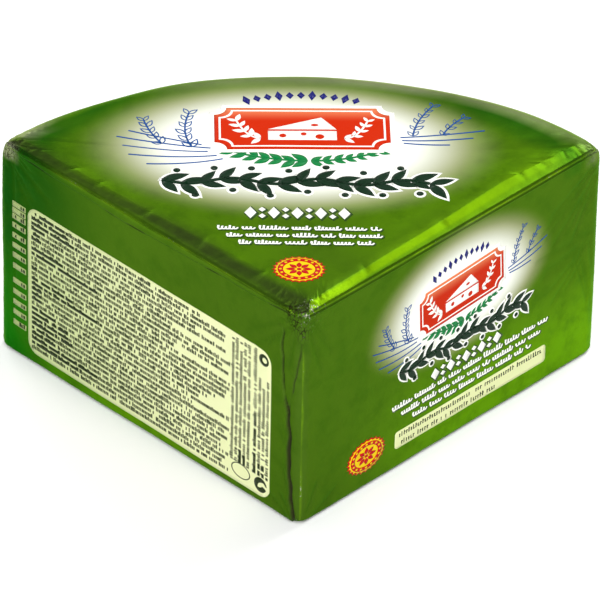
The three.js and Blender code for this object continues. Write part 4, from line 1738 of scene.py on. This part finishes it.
# %% Floor and light
floor = piece_from("floor", [(-4000, -4000, 0), (4000, -4000, 0), (4000, 4000, 0), (-4000, 4000, 0)],
                   [(0, 1, 2), (0, 2, 3)])
floor_paint, tree, shader, where = new_finish("floor_paint", Roughness=0.9, Specular_IOR_Level=0.1)
shader["Base Color"].default_value = ink(250, 250, 250)
floor.data.materials.append(floor_paint)

scene = bpy.context.scene
scene.world = bpy.data.worlds.new("studio")
scene.world.use_nodes = True
sky = scene.world.node_tree.nodes["Background"].inputs
sky["Color"].default_value = (1, 1, 1, 1)
sky["Strength"].default_value = 0.34


def soft_light(name, place, size, power):
    """A square light that looks at the pack from a place in metres."""
    lamp = bpy.data.lights.new(name, "AREA")
    lamp.shape, lamp.size, lamp.energy = "SQUARE", size, power
    made = bpy.data.objects.new(name, lamp)
    made.location = place
    made.rotation_euler = (-Vector(place)).to_track_quat("-Z", "Y").to_euler()
    bpy.context.scene.collection.objects.link(made)


soft_light("bevel_light", (1.6, 2.0, 2.2), 1.9, 62)
soft_light("front_light", (-0.6, -3.0, 2.2), 2.0, 82)
soft_light("high_light", (0.3, -1.4, 3.0), 2.0, 44)
soft_light("back_light", (-1.2, 2.4, 1.5), 1.4, 26)

scene.view_settings.view_transform = "Standard"
scene.view_settings.look = "None"
print(len(bpy.data.lights), "lights")

# %% [markdown]
# ## The camera
# The camera was fitted to the outline of the pack: how far it is turned, tilted and rolled, how far it
# stands from the middle of the pack, its focal length in pixels of a picture 600 wide, and a small shift
# sideways and up.

# %% The camera
camera_turn, camera_tilt, camera_roll = (math.radians(a) for a in (-1.09, 35.6, 1.28))
camera_distance = 2.482
picture_width, focal_pixels, sensor_width = 600, 7419, 36.0
aim_height, shift_right, shift_up = 0.045, 0.00013, -0.00342
aim = Vector((0, (point_y + radius / 2) * MM, aim_height))
back = Vector((math.sin(camera_turn) * math.cos(camera_tilt), -math.cos(camera_turn) * math.cos(camera_tilt),
               math.sin(camera_tilt)))
level = Vector((math.cos(camera_turn), math.sin(camera_turn), 0))
upright = back.cross(level)
right_way = math.cos(camera_roll) * level + math.sin(camera_roll) * upright
up_way = back.cross(right_way)
eye = aim + back * camera_distance + right_way * shift_right + up_way * shift_up
lens = bpy.data.cameras.new("camera")
lens.sensor_width = sensor_width
lens.lens = sensor_width * focal_pixels / picture_width
camera = bpy.data.objects.new("camera", lens)
camera.matrix_world = Matrix.Translation(eye) @ Matrix((right_way, up_way, back)).transposed().to_4x4()
scene.collection.objects.link(camera)
scene.camera = camera
print("the lens is", round(lens.lens, 1), "mm long")
